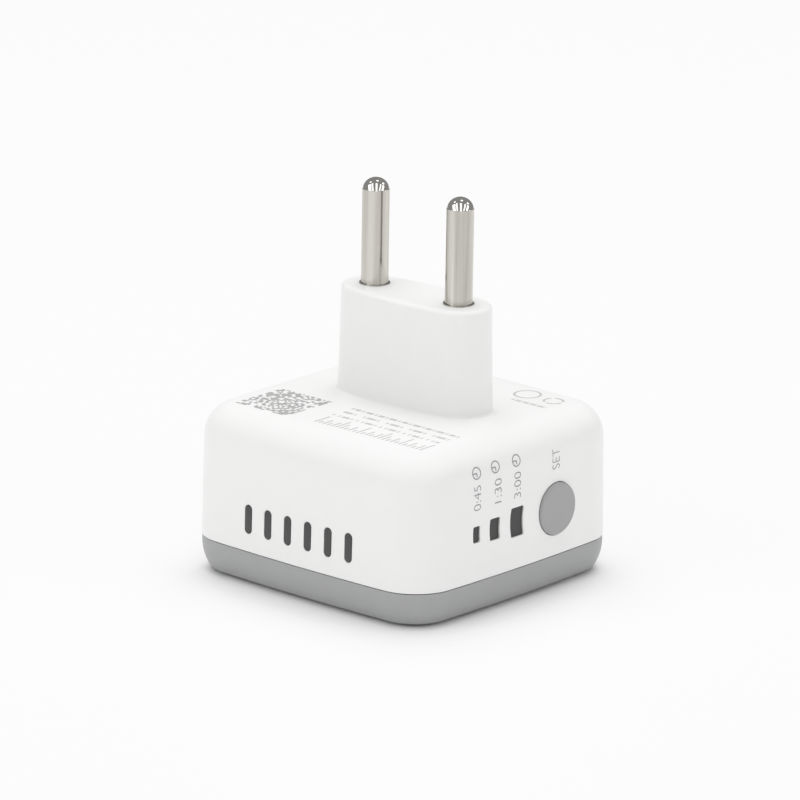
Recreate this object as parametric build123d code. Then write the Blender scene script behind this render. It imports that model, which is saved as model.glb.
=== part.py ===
from build123d import *
import os
from math import atan2, copysign, cos, radians, sin, sqrt, tan

# Plug-in countdown timer. Millimetres, +Z along the plug pins, floor of the socket side at z = 0.
# +X is the button side. The plug and the socket share one centre line, offset in Y.

# ---- case ----
CASE_HALF_X = 27.4
CASE_HALF_Y = 27.0
SIDE_RADIUS = 420.0          # the four sides bow outwards slightly
CORNER_RADIUS = 8.2
TOP_EDGE_RADIUS = 5.8
COVER_SIDE_RADIUS = 8.0      # the cover's side draws in on this arc
COVER_SIDE_CENTRE_Z = 5.25
COVER_STEP = 0.1             # the cover stands in from the housing all round
BOTTOM_EDGE_RADIUS = 0.3
FOOT_HEIGHT = 0.6            # the case rests on a low foot
FOOT_INSET = 3.4
SEAM_Z = 6.45
CASE_TOP_Z = 29.75
CASE_DRAFT_DEG = 1.1
WALL = 2.2
COVER_FLOOR = 2.2
SEAM_GAP = 0.2
TONGUE_HEIGHT = 2.0
TONGUE_THICKNESS = 1.0
TONGUE_CLEARANCE = 0.1

# ---- plug: standard round pins ----
PIN_SPACING = 19.0
PIN_DIAMETER = 4.8
PIN_LENGTH = 18.6            # 19 nominal; the pins seen are a little shorter
PIN_DOME = 1.9               # a round cap, a little less than half a ball
PIN_SHOULDER = 0.05          # a fine chamfer where it starts
PIN_COLLAR_DIAMETER = 5.3
PIN_COLLAR_PROUD = 0.15
PIN_FLANGE_DIAMETER = 6.6
PIN_FLANGE_THICKNESS = 1.4
PIN_TAIL_DIAMETER = 3.0
PIN_TAIL_LENGTH = 7.7
PIN_HOLE_CLEARANCE = 0.05
PLUG_Y = 2.6                 # centre line of plug and socket

# ---- plug boss ----
BOSS_HALF_LENGTH = 15.3
BOSS_HALF_WIDTH = 6.4
BOSS_END_RADIUS = 5.5
BOSS_TOP_Z = 48.35
BOSS_DRAFT_DEG = 1.25
BOSS_WALL = 2.0
BOSS_RIM_RADIUS = 0.8
BOSS_ROOT_RADIUS = 0.35

# ---- socket ----
WELL_HALF_LENGTH = 18.1
WELL_HALF_WIDTH = 7.3
WELL_END_RADIUS = 5.5
WELL_DEPTH = 10.0
WELL_FLOOR = 2.4
WELL_WALL = 1.2
WELL_MOUTH_RADIUS = 0.6
SOCKET_HOLE_DIAMETER = 5.4
SOCKET_HOLE_CHAMFER = 0.4
CONTACT_CLEARANCE = 0.05
CONTACT_WALL = 0.7
CONTACT_HEIGHT = 10.35
CONTACT_SLIT = 1.2
LEG_WIDTH = 3.0
STRIP_THICKNESS = 0.6
STRIP_WIDTH = 4.0
STRIP_X = 5.0                # the bus strips come down between the pins
STRIP_TO_RELAY = 0.6
STRIP_BEND_RISE = 2.5        # of the neutral strip's bend over the contact carrier
STRIP_BEND_DROP = 1.5
STRIP_LAP = 7.35             # of the neutral strip on its contact
STRIP_CROSS_HEIGHT = 3.0     # of the live strip where it crosses over
STRIP_ROOF_GAP = 0.3
EYE_MARGIN = 0.6

# ---- carriers ----
CARRIER_HALF_LENGTH = 15.5
CARRIER_HALF_WIDTH = 5.6
CARRIER_END_RADIUS = 4.6
CARRIER_HEIGHT = 10.85
CARRIER_POCKET_CLEARANCE = 0.15
CARRIER_SCREW_PITCH = 6.4    # across the carrier, in its middle
CARRIER_SCREW_SEAT = 2.0     # thickness under the screw's head
PIN_CARRIER_HEIGHT = 6.4
PIN_CARRIER_CLEARANCE = 0.25
POST_DIAMETER = 4.4
POST_LENGTH = 6.3

# ---- screws: head diameter, head height, core diameter, length under the head ----
CASE_SCREW = (4.4, 1.8, 2.5, 10.0)
CARRIER_SCREW = (3.4, 1.2, 1.7, 4.0)
BOARD_SCREW = (3.2, 1.1, 1.7, 3.2)
POST_SCREW = (4.0, 1.4, 2.0, 5.4)
DRIVE_SLOT_WIDTH = 0.6
DRIVE_SLOT_DEPTH = 0.6
SCREW_INSET = 6.8            # from the case's outline
COLUMN_DIAMETER = 5.6
COVER_POST_DIAMETER = 6.4
COUNTERBORE_DIAMETER = 5.0
COUNTERBORE_DEPTH = 4.2
SCREW_CLEARANCE = 0.15

# ---- control panel on the +X side ----
PANEL_PAD = 0.5              # the wall is this much thicker, and flat, behind the panel
PANEL_EDGE = 2.4
PANEL_Z = 14.6
BUTTON_Y = 8.4
BUTTON_DIAMETER = 9.15
BUTTON_CLEARANCE = 0.13
BUTTON_PROUD = 0.55
BUTTON_EDGE_RADIUS = 0.4
BUTTON_FLANGE_DIAMETER = 11.6
BUTTON_FLANGE_THICKNESS = 0.8
BUTTON_STEM_DIAMETER = 2.6
BUTTON_STEM_LENGTH = 0.1
BUTTON_TRAVEL = 0.3
STOP_GAP = 0.05
WINDOWS = {                  # name: (Y, width, height)
    "short": (-12.15, 1.65, 2.8),
    "medium": (-7.6, 2.45, 3.75),
    "long": (-1.95, 3.2, 5.1),
}
WINDOW_RECESS = 0.25
WINDOW_BOW_RADIUS = 10.0     # their upright sides are arcs, bowed away from the button
WINDOW_CORNER_RADIUS = 0.35
WINDOW_CLEARANCE = 0.05
WINDOW_LIP = 0.6
WINDOW_LIP_THICKNESS = 0.6
WINDOW_LIGHT_GAP = 0.4
BAFFLE_CLEARANCE = 0.2
BAFFLE_WALL = 0.9

# ---- grip grooves on the -Y side ----
GRIP_COUNT = 6
GRIP_SPAN = 24.4
GRIP_WIDTH = 1.7
GRIP_HEIGHT = 5.2
GRIP_DEPTH = 0.35
GRIP_Z = 12.15

# ---- boards ----
BOARD_THICKNESS = 1.6
STANDOFF_HEIGHT = 2.2
STANDOFF_DIAMETER = 3.6
STANDOFF_INSET = 3.0         # from the inside of the X walls
STANDOFF_TO_WELL_LOW = 5.1
STANDOFF_TO_WELL_HIGH = 1.6
BOARD_EDGE_GAP = 0.6
BOARD_CORNER_CUT = 6.0
BOARD_HOLE_CLEARANCE = 0.1
LEAD_RADIUS = 0.35
LEAD_BELOW_BOARD = 1.2
CONTROL_THICKNESS = 1.2
CONTROL_POST_GAPS = (1.6, 3.0)   # to the cover's posts, at the -Y and +Y ends
CONTROL_HEIGHT = 16.05
CONTROL_FOOT_GAP = 0.2
CONTROL_WELL_GAP = 0.3       # the board is cut away over the socket well
HEADER_PITCH = 2.54
HEADER_PINS = 3
HEADER_THICKNESS = 2.5
HEADER_INSET = 2.2
CHIP_LENGTH = 8.6
CHIP_WIDTH = 3.9
CHIP_HEIGHT = 1.6
CHIP_FEET = 7
CHIP_PITCH = 1.27
CHIP_FOOT_REACH = 0.9
CHIP_FOOT_WIDTH = 0.4
CHIP_FOOT_THICKNESS = 0.3
CHIP_Y = -9.6
CHIP_RISE = 1.2              # above the panel's centre
CRYSTAL_DIAMETER = 2.2
CRYSTAL_LENGTH = 6.0
CRYSTAL_EDGE_RADIUS = 0.2
CRYSTAL_Y = -2.6
CRYSTAL_RISE = 3.6
SWITCH_SIZE = 6.0
SWITCH_BODY_HEIGHT = 1.9
SWITCH_HEIGHT = 2.5
SWITCH_BASE = 0.3
PLUNGER_DIAMETER = 3.1
PLUNGER_END_GAP = 0.15
PLUNGER_CLEARANCE = 0.05
LIGHT_SIZE = (0.8, 2.8, 3.5)
LIGHT_BASE_SHARE = 0.75
LIGHT_DOME_SHARE = 0.8

# ---- components on the power board ----
ROW_WALL_GAP = 0.7           # far row, to the inside of the +Y wall
ROW_WELL_GAP = 0.5           # near row, to the socket well
X_CAPACITOR = (13.0, 6.0, 12.0)
X_CAPACITOR_X = -7.8
X_CAPACITOR_PITCH = 10.0
X_CAPACITOR_EDGE_RADIUS = 0.5
CAN_DIAMETER = 8.0
CAN_HEIGHT = 12.0
CAN_X = 12.1
CAN_PITCH = 3.5
CAN_BEAD_RISE = 1.6
CAN_BEAD_RADIUS = 0.5
CAN_BEAD_DEPTH = 0.3
CAN_EDGE_RADIUS = 0.6
VARISTOR_DIAMETER = 9.0
VARISTOR_THICKNESS = 4.0
VARISTOR_EDGE_RADIUS = 1.2
VARISTOR_X = 3.6
VARISTOR_PITCH = 5.0
VARISTOR_RISE = 0.7          # under the disc
VARISTOR_LEAD_LAP = 2.0
FUSE = (8.3, 4.0, 7.7)
FUSE_X = 3.7
FUSE_PITCH = 5.08
FUSE_EDGE_RADIUS = 1.2
RESISTOR_DIAMETER = 3.2
RESISTOR_LENGTH = 8.0
RESISTOR_RISE = 0.3
RESISTOR_EDGE_RADIUS = 0.6
RESISTOR_X = -7.8
RESISTOR_PITCH = 10.6

# ---- chips under the power board: length, width, height, pitch of the feet ----
BRIDGE_CHIP = (4.7, 3.0, 1.5, 2.54)
REGULATOR_CHIP = (2.9, 1.6, 1.2, 1.9)
DRIVER_CHIP = (2.9, 1.3, 1.1, 1.9)
BOARD_CHIP_FEET = 2          # along each side
FOOT_LAP = 0.2
FOOT_REACH = 0.8
FOOT_WIDTH = 0.5
FOOT_THICKNESS = 0.3
CHIP_STANDOFF = 0.1

# ---- relay ----
RELAY_LENGTH = 29.0
RELAY_WIDTH = 12.7
RELAY_HEIGHT = 15.7
RELAY_WALL = 0.8
RELAY_BASE = 1.6
RELAY_WALL_GAP = 1.2         # to the inside of the -Y wall
COIL_DIAMETER = 9.6
COIL_HEIGHT = 8.6
COIL_X = -4.0
COIL_WIND_INSET = 0.6
CORE_PROUD = 0.6
RELAY_EDGE_RADIUS = 0.5
RELAY_LEAD_XS = (-11.6, 12.4)
RELAY_LEAD_HALF_PITCH = 3.75
BOBBIN_FLANGE = 0.8
CORE_DIAMETER = 3.2
YOKE_THICKNESS = 1.1
YOKE_WIDTH = 8.0
YOKE_GAP = 0.8
YOKE_EDGE_RADIUS = 0.5       # the armature rocks on this rounded edge
ARMATURE_THICKNESS = 1.0
ARMATURE_LENGTH = 12.2
ARMATURE_OPEN_DEG = 4.0
ARMATURE_SEAT = 0.05
BLADE_THICKNESS = 0.3
BLADE_WIDTH = 3.4
BLADE_LENGTH = 16.0
BLADE_END_INSET = 1.0
CONTACT_END_INSET = 0.2
RELAY_CONTACT_DIAMETER = 2.4
RELAY_CONTACT_HEIGHT = 0.7

# ---- values that follow ----
CASE_DRAFT = tan(radians(CASE_DRAFT_DEG))
BOSS_DRAFT = tan(radians(BOSS_DRAFT_DEG))
PIN_XS = (-PIN_SPACING / 2, PIN_SPACING / 2)
WELL_TOP_Z = WELL_DEPTH + WELL_FLOOR
ROOF_Z = CASE_TOP_Z - WALL
BOSS_ROOF_Z = BOSS_TOP_Z - WALL
BOARD_Z = COVER_FLOOR + STANDOFF_HEIGHT
BOARD_TOP = BOARD_Z + BOARD_THICKNESS
LEAD_Z = BOARD_Z - LEAD_BELOW_BOARD
PANEL_X = CASE_HALF_X - WALL - PANEL_PAD
FLANGE_X = PANEL_X - STOP_GAP - BUTTON_FLANGE_THICKNESS
PLUNGER_TIP_X = FLANGE_X - BUTTON_STEM_LENGTH - STOP_GAP
CONTROL_OUTER_X = PLUNGER_TIP_X - SWITCH_HEIGHT
CONTROL_INNER_X = CONTROL_OUTER_X - CONTROL_THICKNESS
CONTROL_FOOT_Z = BOARD_TOP + CONTROL_FOOT_GAP
POST_REACH_Y = CASE_HALF_Y - SCREW_INSET - COVER_POST_DIAMETER / 2
CONTROL_Y = (CONTROL_POST_GAPS[0] - POST_REACH_Y, POST_REACH_Y - CONTROL_POST_GAPS[1])
CONTACT_RADIUS = PIN_DIAMETER / 2 + CONTACT_CLEARANCE
CONTACT_OUTER = CONTACT_RADIUS + CONTACT_WALL
CARRIER_TOP_Z = WELL_TOP_Z + CARRIER_HEIGHT
CARRIER_SCREW_YS = (PLUG_Y - CARRIER_SCREW_PITCH / 2, PLUG_Y + CARRIER_SCREW_PITCH / 2)
CARRIER_SEAT_Z = WELL_TOP_Z + CARRIER_SCREW_SEAT
PIN_FLANGE_Z = BOSS_ROOF_Z - PIN_FLANGE_THICKNESS
PIN_TAIL_Z = PIN_FLANGE_Z - PIN_TAIL_LENGTH
TERMINAL_Z = PIN_FLANGE_Z - PIN_CARRIER_HEIGHT - STRIP_THICKNESS
WELL_EDGE_Y = PLUG_Y - WELL_HALF_WIDTH - WELL_WALL
LEG_Y = WELL_EDGE_Y - BOARD_EDGE_GAP - 2 * STRIP_THICKNESS
RELAY_Y = -(CASE_HALF_Y - WALL - RELAY_WALL_GAP - RELAY_WIDTH / 2)
SCREW_X = CASE_HALF_X - SCREW_INSET
SCREW_Y = CASE_HALF_Y - SCREW_INSET
SCREW_PLACES = [(sx * SCREW_X, sy * SCREW_Y) for sx in (-1, 1) for sy in (-1, 1)]
STANDOFF_X = CASE_HALF_X - WALL - STANDOFF_INSET
WELL_FAR_Y = PLUG_Y + WELL_HALF_WIDTH + WELL_WALL
STANDOFF_YS = (WELL_EDGE_Y - STANDOFF_TO_WELL_LOW, WELL_FAR_Y + STANDOFF_TO_WELL_HIGH)
STANDOFF_PLACES = [(sx * STANDOFF_X, y) for sx in (-1, 1) for y in STANDOFF_YS]
RELAY_FLOOR_Z = BOARD_TOP + RELAY_BASE
BOBBIN_Z = RELAY_FLOOR_Z + YOKE_THICKNESS
POLE_Z = BOBBIN_Z + COIL_HEIGHT + CORE_PROUD
YOKE_X = COIL_X + COIL_DIAMETER / 2 + YOKE_GAP
YOKE_END_X = YOKE_X + YOKE_THICKNESS
HINGE_X = YOKE_END_X - YOKE_EDGE_RADIUS
HINGE_Z = POLE_Z - YOKE_EDGE_RADIUS
CONTACT_X = YOKE_END_X - BLADE_LENGTH + RELAY_CONTACT_DIAMETER / 2 + CONTACT_END_INSET
BLADE_Z = POLE_Z + ARMATURE_SEAT + ARMATURE_THICKNESS
STRIP_FOOT_Y = RELAY_Y + RELAY_WIDTH / 2 + STRIP_TO_RELAY
FAR_ROW_Y = CASE_HALF_Y - WALL - ROW_WALL_GAP      # outer side of the row along the +Y wall
NEAR_ROW_Y = WELL_FAR_Y + ROW_WELL_GAP             # inner side of the row along the socket well
CHIP_ROW_Y = (NEAR_ROW_Y + FAR_ROW_Y) / 2
PLUNGER_LENGTH = SWITCH_HEIGHT - SWITCH_BASE - BUTTON_TRAVEL - PLUNGER_END_GAP


# ---- shapes used by several pieces ----
def block(low, high):
    """A box from its lowest to its highest corner."""
    size = [b - a for a, b in zip(low, high)]
    centre = [(a + b) / 2 for a, b in zip(low, high)]
    return Pos(*centre) * Box(*size)


def post(x, y, z_low, z_high, diameter):
    """A round post along Z."""
    return Pos(x, y, (z_low + z_high) / 2) * Cylinder(diameter / 2, z_high - z_low)


def rod(y, z, x_low, x_high, diameter):
    """A round rod along X."""
    return Pos((x_low + x_high) / 2, y, z) * Rot(0, 90, 0) * Cylinder(diameter / 2, x_high - x_low)


def prism(sketch, z_low, z_high):
    """A sketch on XY raised between two heights."""
    return extrude(Pos(0, 0, z_low) * sketch, amount=z_high - z_low)


def panel_prism(y, z, width, height, radius, x_low, x_high):
    """A rounded rectangle seen from +X, between two X values."""
    face = Plane.YZ.offset(x_low) * Pos(y, z) * RectangleRounded(width, height, radius)
    return extrude(face, amount=x_high - x_low)


def window_prism(y, width, height, x_low, x_high):
    """A window's outline seen from +X, its upright sides bowed one way, between two X values."""
    bow = height ** 2 / (8 * WINDOW_BOW_RADIUS)
    side, half = width / 2, height / 2
    near, far = bow / 2 - side, bow / 2 + side
    edges = [
        ThreePointArc((near, -half), (near - bow, 0), (near, half)),
        Line((near, half), (far, half)),
        ThreePointArc((far, half), (far - bow, 0), (far, -half)),
        Line((far, -half), (near, -half)),
    ]
    face = make_face(edges)
    face = fillet(face.vertices(), WINDOW_CORNER_RADIUS)
    return extrude(Plane.YZ.offset(x_low) * Pos(y, PANEL_Z) * face, amount=x_high - x_low)


def case_outline(inset=0.0):
    """The bowed square of the case, drawn in by an inset."""
    radius = SIDE_RADIUS - inset
    reach_x = radius - (CASE_HALF_X - inset)
    reach_y = radius - (CASE_HALF_Y - inset)
    blank = Pos(reach_x, 0) * Circle(radius) & Pos(-reach_x, 0) * Circle(radius)
    blank = blank & Pos(0, reach_y) * Circle(radius) & Pos(0, -reach_y) * Circle(radius)
    return fillet(blank.vertices(), CORNER_RADIUS - inset)


def oval(half_length, half_width, end_radius, grow=0.0):
    """A slot with bulged sides on the plug's centre line, grown all round."""
    a, b, r = half_length + grow, half_width + grow, end_radius + grow
    end_x = a - r
    side_radius = (end_x ** 2 + b ** 2 - r ** 2) / (2 * (b - r))
    angle = atan2(side_radius - b, end_x)
    x, y = end_x + r * cos(angle), r * sin(angle)
    edges = [
        ThreePointArc((-x, y), (0, b), (x, y)),
        ThreePointArc((x, y), (a, 0), (x, -y)),
        ThreePointArc((x, -y), (0, -b), (-x, -y)),
        ThreePointArc((-x, -y), (-a, 0), (-x, y)),
    ]
    return Pos(0, PLUG_Y) * make_face(edges)


def boss_oval(z, grow=0.0):
    """The boss's section at a height, with its draft."""
    draft = (BOSS_TOP_Z - z) * BOSS_DRAFT
    return Pos(0, 0, z) * oval(BOSS_HALF_LENGTH, BOSS_HALF_WIDTH, BOSS_END_RADIUS, draft + grow)


def side_x(y, z):
    """X of the case's outside on the button side."""
    bow = sqrt(SIDE_RADIUS ** 2 - y ** 2) - SIDE_RADIUS
    return CASE_HALF_X + bow - (z - SEAM_Z) * CASE_DRAFT


def screw(x, y, seat_z, spec, up):
    """A screw whose head seats at seat_z; up says that its point is upwards."""
    head, head_height, core, length = spec
    sign = 1 if up else -1
    shank = post(x, y, *sorted((seat_z, seat_z + sign * length)), core)
    outer_z = seat_z - sign * head_height
    cap = post(x, y, *sorted((seat_z, outer_z)), head)
    slot_z = outer_z + sign * DRIVE_SLOT_DEPTH / 2
    for turn in (0, 90):
        cap -= Pos(x, y, slot_z) * Rot(0, 0, turn) * Box(head * 0.6, DRIVE_SLOT_WIDTH, DRIVE_SLOT_DEPTH)
    return shank + cap


# ---- case ----
def case_blank(inset, z_low, z_high, edge_radius):
    """The drafted case form with a rounded top edge."""
    low = Pos(0, 0, z_low) * case_outline(inset + (z_low - SEAM_Z) * CASE_DRAFT)
    high = Pos(0, 0, z_high) * case_outline(inset + (z_high - SEAM_Z) * CASE_DRAFT)
    solid = loft([low, high], ruled=True)
    return fillet(solid.edges().group_by(Axis.Z)[-1], edge_radius)


def boss_root_edges(solid):
    """Edges where the boss leaves the top face."""
    level = solid.edges().filter_by_position(Axis.Z, CASE_TOP_Z - 0.01, CASE_TOP_Z + 0.01)
    reach_x, reach_y = BOSS_HALF_LENGTH + 1, BOSS_HALF_WIDTH + 1
    return level.filter_by(lambda e: abs(e.center().X) < reach_x and abs(e.center().Y - PLUG_Y) < reach_y)


def make_plug_housing():
    outer = case_blank(0, SEAM_Z, CASE_TOP_Z, TOP_EDGE_RADIUS)
    form = outer + loft([boss_oval(ROOF_Z), boss_oval(BOSS_TOP_Z)], ruled=True)
    form = fillet(form.edges().group_by(Axis.Z)[-1], BOSS_RIM_RADIUS)
    form = fillet(boss_root_edges(form), BOSS_ROOT_RADIUS)
    body = form - case_blank(WALL, SEAM_Z, ROOF_Z, TOP_EDGE_RADIUS - WALL)
    body -= loft([boss_oval(ROOF_Z - 0.5, -BOSS_WALL), boss_oval(BOSS_ROOF_Z, -BOSS_WALL)], ruled=True)
    rebate = TONGUE_THICKNESS + TONGUE_CLEARANCE
    body -= prism(case_outline(WALL - rebate), SEAM_Z, SEAM_Z + TONGUE_HEIGHT + TONGUE_CLEARANCE)
    y_low = WINDOWS["short"][0] - PANEL_EDGE
    y_high = BUTTON_Y + BUTTON_FLANGE_DIAMETER / 2
    reach = BUTTON_FLANGE_DIAMETER / 2
    pad_high = (PANEL_X + PANEL_PAD + WALL / 2, y_high, PANEL_Z + reach)
    body += block((PANEL_X, y_low, PANEL_Z - reach), pad_high)
    for x, y in SCREW_PLACES:
        body += post(x, y, SEAM_Z, ROOF_Z + WALL / 2, COLUMN_DIAMETER)
        body -= post(x, y, SEAM_Z, COUNTERBORE_DEPTH + CASE_SCREW[3], CASE_SCREW[2])
    body += post(0, PLUG_Y, BOSS_ROOF_Z - POST_LENGTH, BOSS_ROOF_Z, POST_DIAMETER)
    body -= post(0, PLUG_Y, BOSS_ROOF_Z - POST_LENGTH, BOSS_ROOF_Z - 1, POST_SCREW[2])
    hole = PIN_COLLAR_DIAMETER + 2 * PIN_HOLE_CLEARANCE
    for x in PIN_XS:
        body -= post(x, PLUG_Y, BOSS_ROOF_Z, BOSS_TOP_Z, hole)
    past = CASE_HALF_X + 1
    body -= rod(BUTTON_Y, PANEL_Z, PANEL_X, past, BUTTON_DIAMETER + 2 * BUTTON_CLEARANCE)
    for y, width, height in WINDOWS.values():
        wide, tall = width + 2 * WINDOW_CLEARANCE, height + 2 * WINDOW_CLEARANCE
        body -= window_prism(y, wide, tall, PANEL_X, past)
    return body - grip_grooves()


def grip_grooves():
    """A row of shallow upright grooves in the -Y side."""
    pitch = (GRIP_SPAN - GRIP_WIDTH) / (GRIP_COUNT - 1)
    bottom_y = -(CASE_HALF_Y - (GRIP_Z - SEAM_Z) * CASE_DRAFT - GRIP_DEPTH)
    groove = SlotOverall(GRIP_HEIGHT, GRIP_WIDTH, rotation=90)
    tools = Part()
    for index in range(GRIP_COUNT):
        x = -(GRIP_SPAN - GRIP_WIDTH) / 2 + index * pitch
        tools += extrude(Plane.XZ.offset(-bottom_y) * Pos(x, GRIP_Z) * groove, amount=GRIP_DEPTH + 1)
    return tools


def make_socket_cover():
    rim_z = SEAM_Z - SEAM_GAP
    body = prism(case_outline(COVER_STEP), COVER_SIDE_CENTRE_Z - COVER_SIDE_RADIUS, rim_z)
    body = fillet(body.edges().group_by(Axis.Z)[0], COVER_SIDE_RADIUS)
    body = split(body, Plane.XY.offset(FOOT_HEIGHT), keep=Keep.TOP)
    body = fillet(body.edges().group_by(Axis.Z)[0], BOTTOM_EDGE_RADIUS)
    body += prism(case_outline(FOOT_INSET), 0, COVER_FLOOR)
    body -= prism(case_outline(WALL), COVER_FLOOR, rim_z)
    tongue = case_outline(WALL - TONGUE_THICKNESS) - case_outline(WALL)
    body += prism(tongue, COVER_FLOOR + 1, SEAM_Z + TONGUE_HEIGHT)
    well = (WELL_HALF_LENGTH, WELL_HALF_WIDTH, WELL_END_RADIUS)
    body += prism(oval(*well, WELL_WALL), 0, WELL_TOP_Z)
    body -= prism(oval(*well), 0, WELL_DEPTH)
    mouth = body.faces().sort_by(Axis.Z)[0].inner_wires()
    body = fillet(mouth.sort_by(SortBy.LENGTH)[-1].edges(), WELL_MOUTH_RADIUS)
    for x in PIN_XS:
        body -= post(x, PLUG_Y, WELL_DEPTH, WELL_TOP_Z, SOCKET_HOLE_DIAMETER)
        radius = SOCKET_HOLE_DIAMETER / 2
        funnel = Cone(radius + SOCKET_HOLE_CHAMFER, radius, SOCKET_HOLE_CHAMFER)
        body -= Pos(x, PLUG_Y, WELL_DEPTH + SOCKET_HOLE_CHAMFER / 2) * funnel
    for y in CARRIER_SCREW_YS:
        body -= post(0, y, CARRIER_SEAT_Z - CARRIER_SCREW[3], WELL_TOP_Z, CARRIER_SCREW[2])
    for x, y in STANDOFF_PLACES:
        body += post(x, y, COVER_FLOOR, BOARD_Z, STANDOFF_DIAMETER)
    for x, y in board_screw_places():
        body -= post(x, y, BOARD_TOP - BOARD_SCREW[3], BOARD_Z, BOARD_SCREW[2])
    for x, y in SCREW_PLACES:
        body += post(x, y, COVER_FLOOR - 1, SEAM_Z - TONGUE_CLEARANCE, COVER_POST_DIAMETER)
        body -= post(x, y, 0, COUNTERBORE_DEPTH, COUNTERBORE_DIAMETER)
        body -= post(x, y, COUNTERBORE_DEPTH, SEAM_Z, CASE_SCREW[2] + 2 * SCREW_CLEARANCE)
    return body


def make_case_screws():
    return [screw(x, y, COUNTERBORE_DEPTH, CASE_SCREW, up=True) for x, y in SCREW_PLACES]


# ---- plug ----
def make_plug_pin(x):
    radius, dome_radius = PIN_DIAMETER / 2, PIN_DIAMETER / 2 - PIN_SHOULDER
    dome_z = BOSS_TOP_Z + PIN_LENGTH - PIN_DOME
    shoulder_z = dome_z - PIN_SHOULDER
    shank = post(x, PLUG_Y, BOSS_ROOF_Z, shoulder_z, PIN_DIAMETER)
    shank += Pos(x, PLUG_Y, (shoulder_z + dome_z) / 2) * Cone(radius, dome_radius, PIN_SHOULDER)
    ball = (dome_radius ** 2 + PIN_DOME ** 2) / (2 * PIN_DOME)
    drop = ball - PIN_DOME
    middle = (atan2(drop, dome_radius) + radians(90)) / 2
    arc = ThreePointArc((dome_radius, 0), (ball * cos(middle), ball * sin(middle) - drop), (0, PIN_DOME))
    quarter = make_face(arc + Line((0, PIN_DOME), (0, 0)) + Line((0, 0), (dome_radius, 0)))
    dome = Pos(x, PLUG_Y, dome_z) * revolve(Plane.XZ * quarter, Axis.Z)
    collar = post(x, PLUG_Y, BOSS_ROOF_Z, BOSS_TOP_Z + PIN_COLLAR_PROUD, PIN_COLLAR_DIAMETER)
    flange = post(x, PLUG_Y, PIN_FLANGE_Z, BOSS_ROOF_Z, PIN_FLANGE_DIAMETER)
    tail = post(x, PLUG_Y, PIN_TAIL_Z, PIN_FLANGE_Z, PIN_TAIL_DIAMETER)
    return shank + dome + collar + flange + tail


def make_pin_carrier():
    z_low = PIN_FLANGE_Z - PIN_CARRIER_HEIGHT
    inset = BOSS_WALL + PIN_CARRIER_CLEARANCE
    body = loft([boss_oval(z_low, -inset), boss_oval(PIN_FLANGE_Z, -inset)], ruled=True)
    for x in PIN_XS:
        body -= post(x, PLUG_Y, z_low, PIN_FLANGE_Z, PIN_TAIL_DIAMETER + 2 * PIN_HOLE_CLEARANCE)
    pocket = POST_DIAMETER + 2 * SCREW_CLEARANCE
    body -= post(0, PLUG_Y, BOSS_ROOF_Z - POST_LENGTH, PIN_FLANGE_Z, pocket)
    return body - post(0, PLUG_Y, z_low, PIN_FLANGE_Z, POST_SCREW[2] + 2 * SCREW_CLEARANCE)


def make_pin_carrier_screw():
    return screw(0, PLUG_Y, PIN_FLANGE_Z - PIN_CARRIER_HEIGHT, POST_SCREW, up=True)


# ---- socket side ----
def make_contact_carrier():
    shape = oval(CARRIER_HALF_LENGTH, CARRIER_HALF_WIDTH, CARRIER_END_RADIUS)
    body = prism(shape, WELL_TOP_Z, CARRIER_TOP_Z)
    gap = CARRIER_POCKET_CLEARANCE
    for x in PIN_XS:
        body -= post(x, PLUG_Y, WELL_TOP_Z, CARRIER_TOP_Z, 2 * (CONTACT_OUTER + gap))
        half = LEG_WIDTH / 2 + gap
        slot_top = WELL_TOP_Z + STRIP_THICKNESS + 2 * gap
        body -= block((x - half, PLUG_Y - CARRIER_HALF_WIDTH - 1, WELL_TOP_Z), (x + half, PLUG_Y, slot_top))
    for y in CARRIER_SCREW_YS:
        body -= post(0, y, WELL_TOP_Z, CARRIER_SEAT_Z, CARRIER_SCREW[2] + 2 * SCREW_CLEARANCE)
        body -= post(0, y, CARRIER_SEAT_Z, CARRIER_TOP_Z, CARRIER_SCREW[0] + 2 * SCREW_CLEARANCE)
    strip_x = PIN_XS[1] - CONTACT_OUTER - STRIP_THICKNESS
    half = STRIP_WIDTH / 2 + gap
    low = (strip_x - gap, PLUG_Y - half, WELL_TOP_Z + 2)
    return body - block(low, (PIN_XS[1], PLUG_Y + half, CARRIER_TOP_Z))


def make_contact_carrier_screws():
    return [screw(0, y, CARRIER_SEAT_Z, CARRIER_SCREW, up=False) for y in CARRIER_SCREW_YS]


def make_socket_contact(x):
    top = WELL_TOP_Z + CONTACT_HEIGHT
    half = LEG_WIDTH / 2
    body = post(x, PLUG_Y, WELL_TOP_Z, top, 2 * CONTACT_OUTER)
    body += block((x - half, LEG_Y, WELL_TOP_Z), (x + half, PLUG_Y, WELL_TOP_Z + STRIP_THICKNESS))
    body += block((x - half, LEG_Y, LEAD_Z), (x + half, LEG_Y + STRIP_THICKNESS, WELL_TOP_Z))
    body -= post(x, PLUG_Y, WELL_TOP_Z, top, 2 * CONTACT_RADIUS)
    slit = CONTACT_SLIT / 2
    return body - block((x - slit, PLUG_Y, WELL_TOP_Z), (x + slit, PLUG_Y + CONTACT_OUTER + 1, top))


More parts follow.
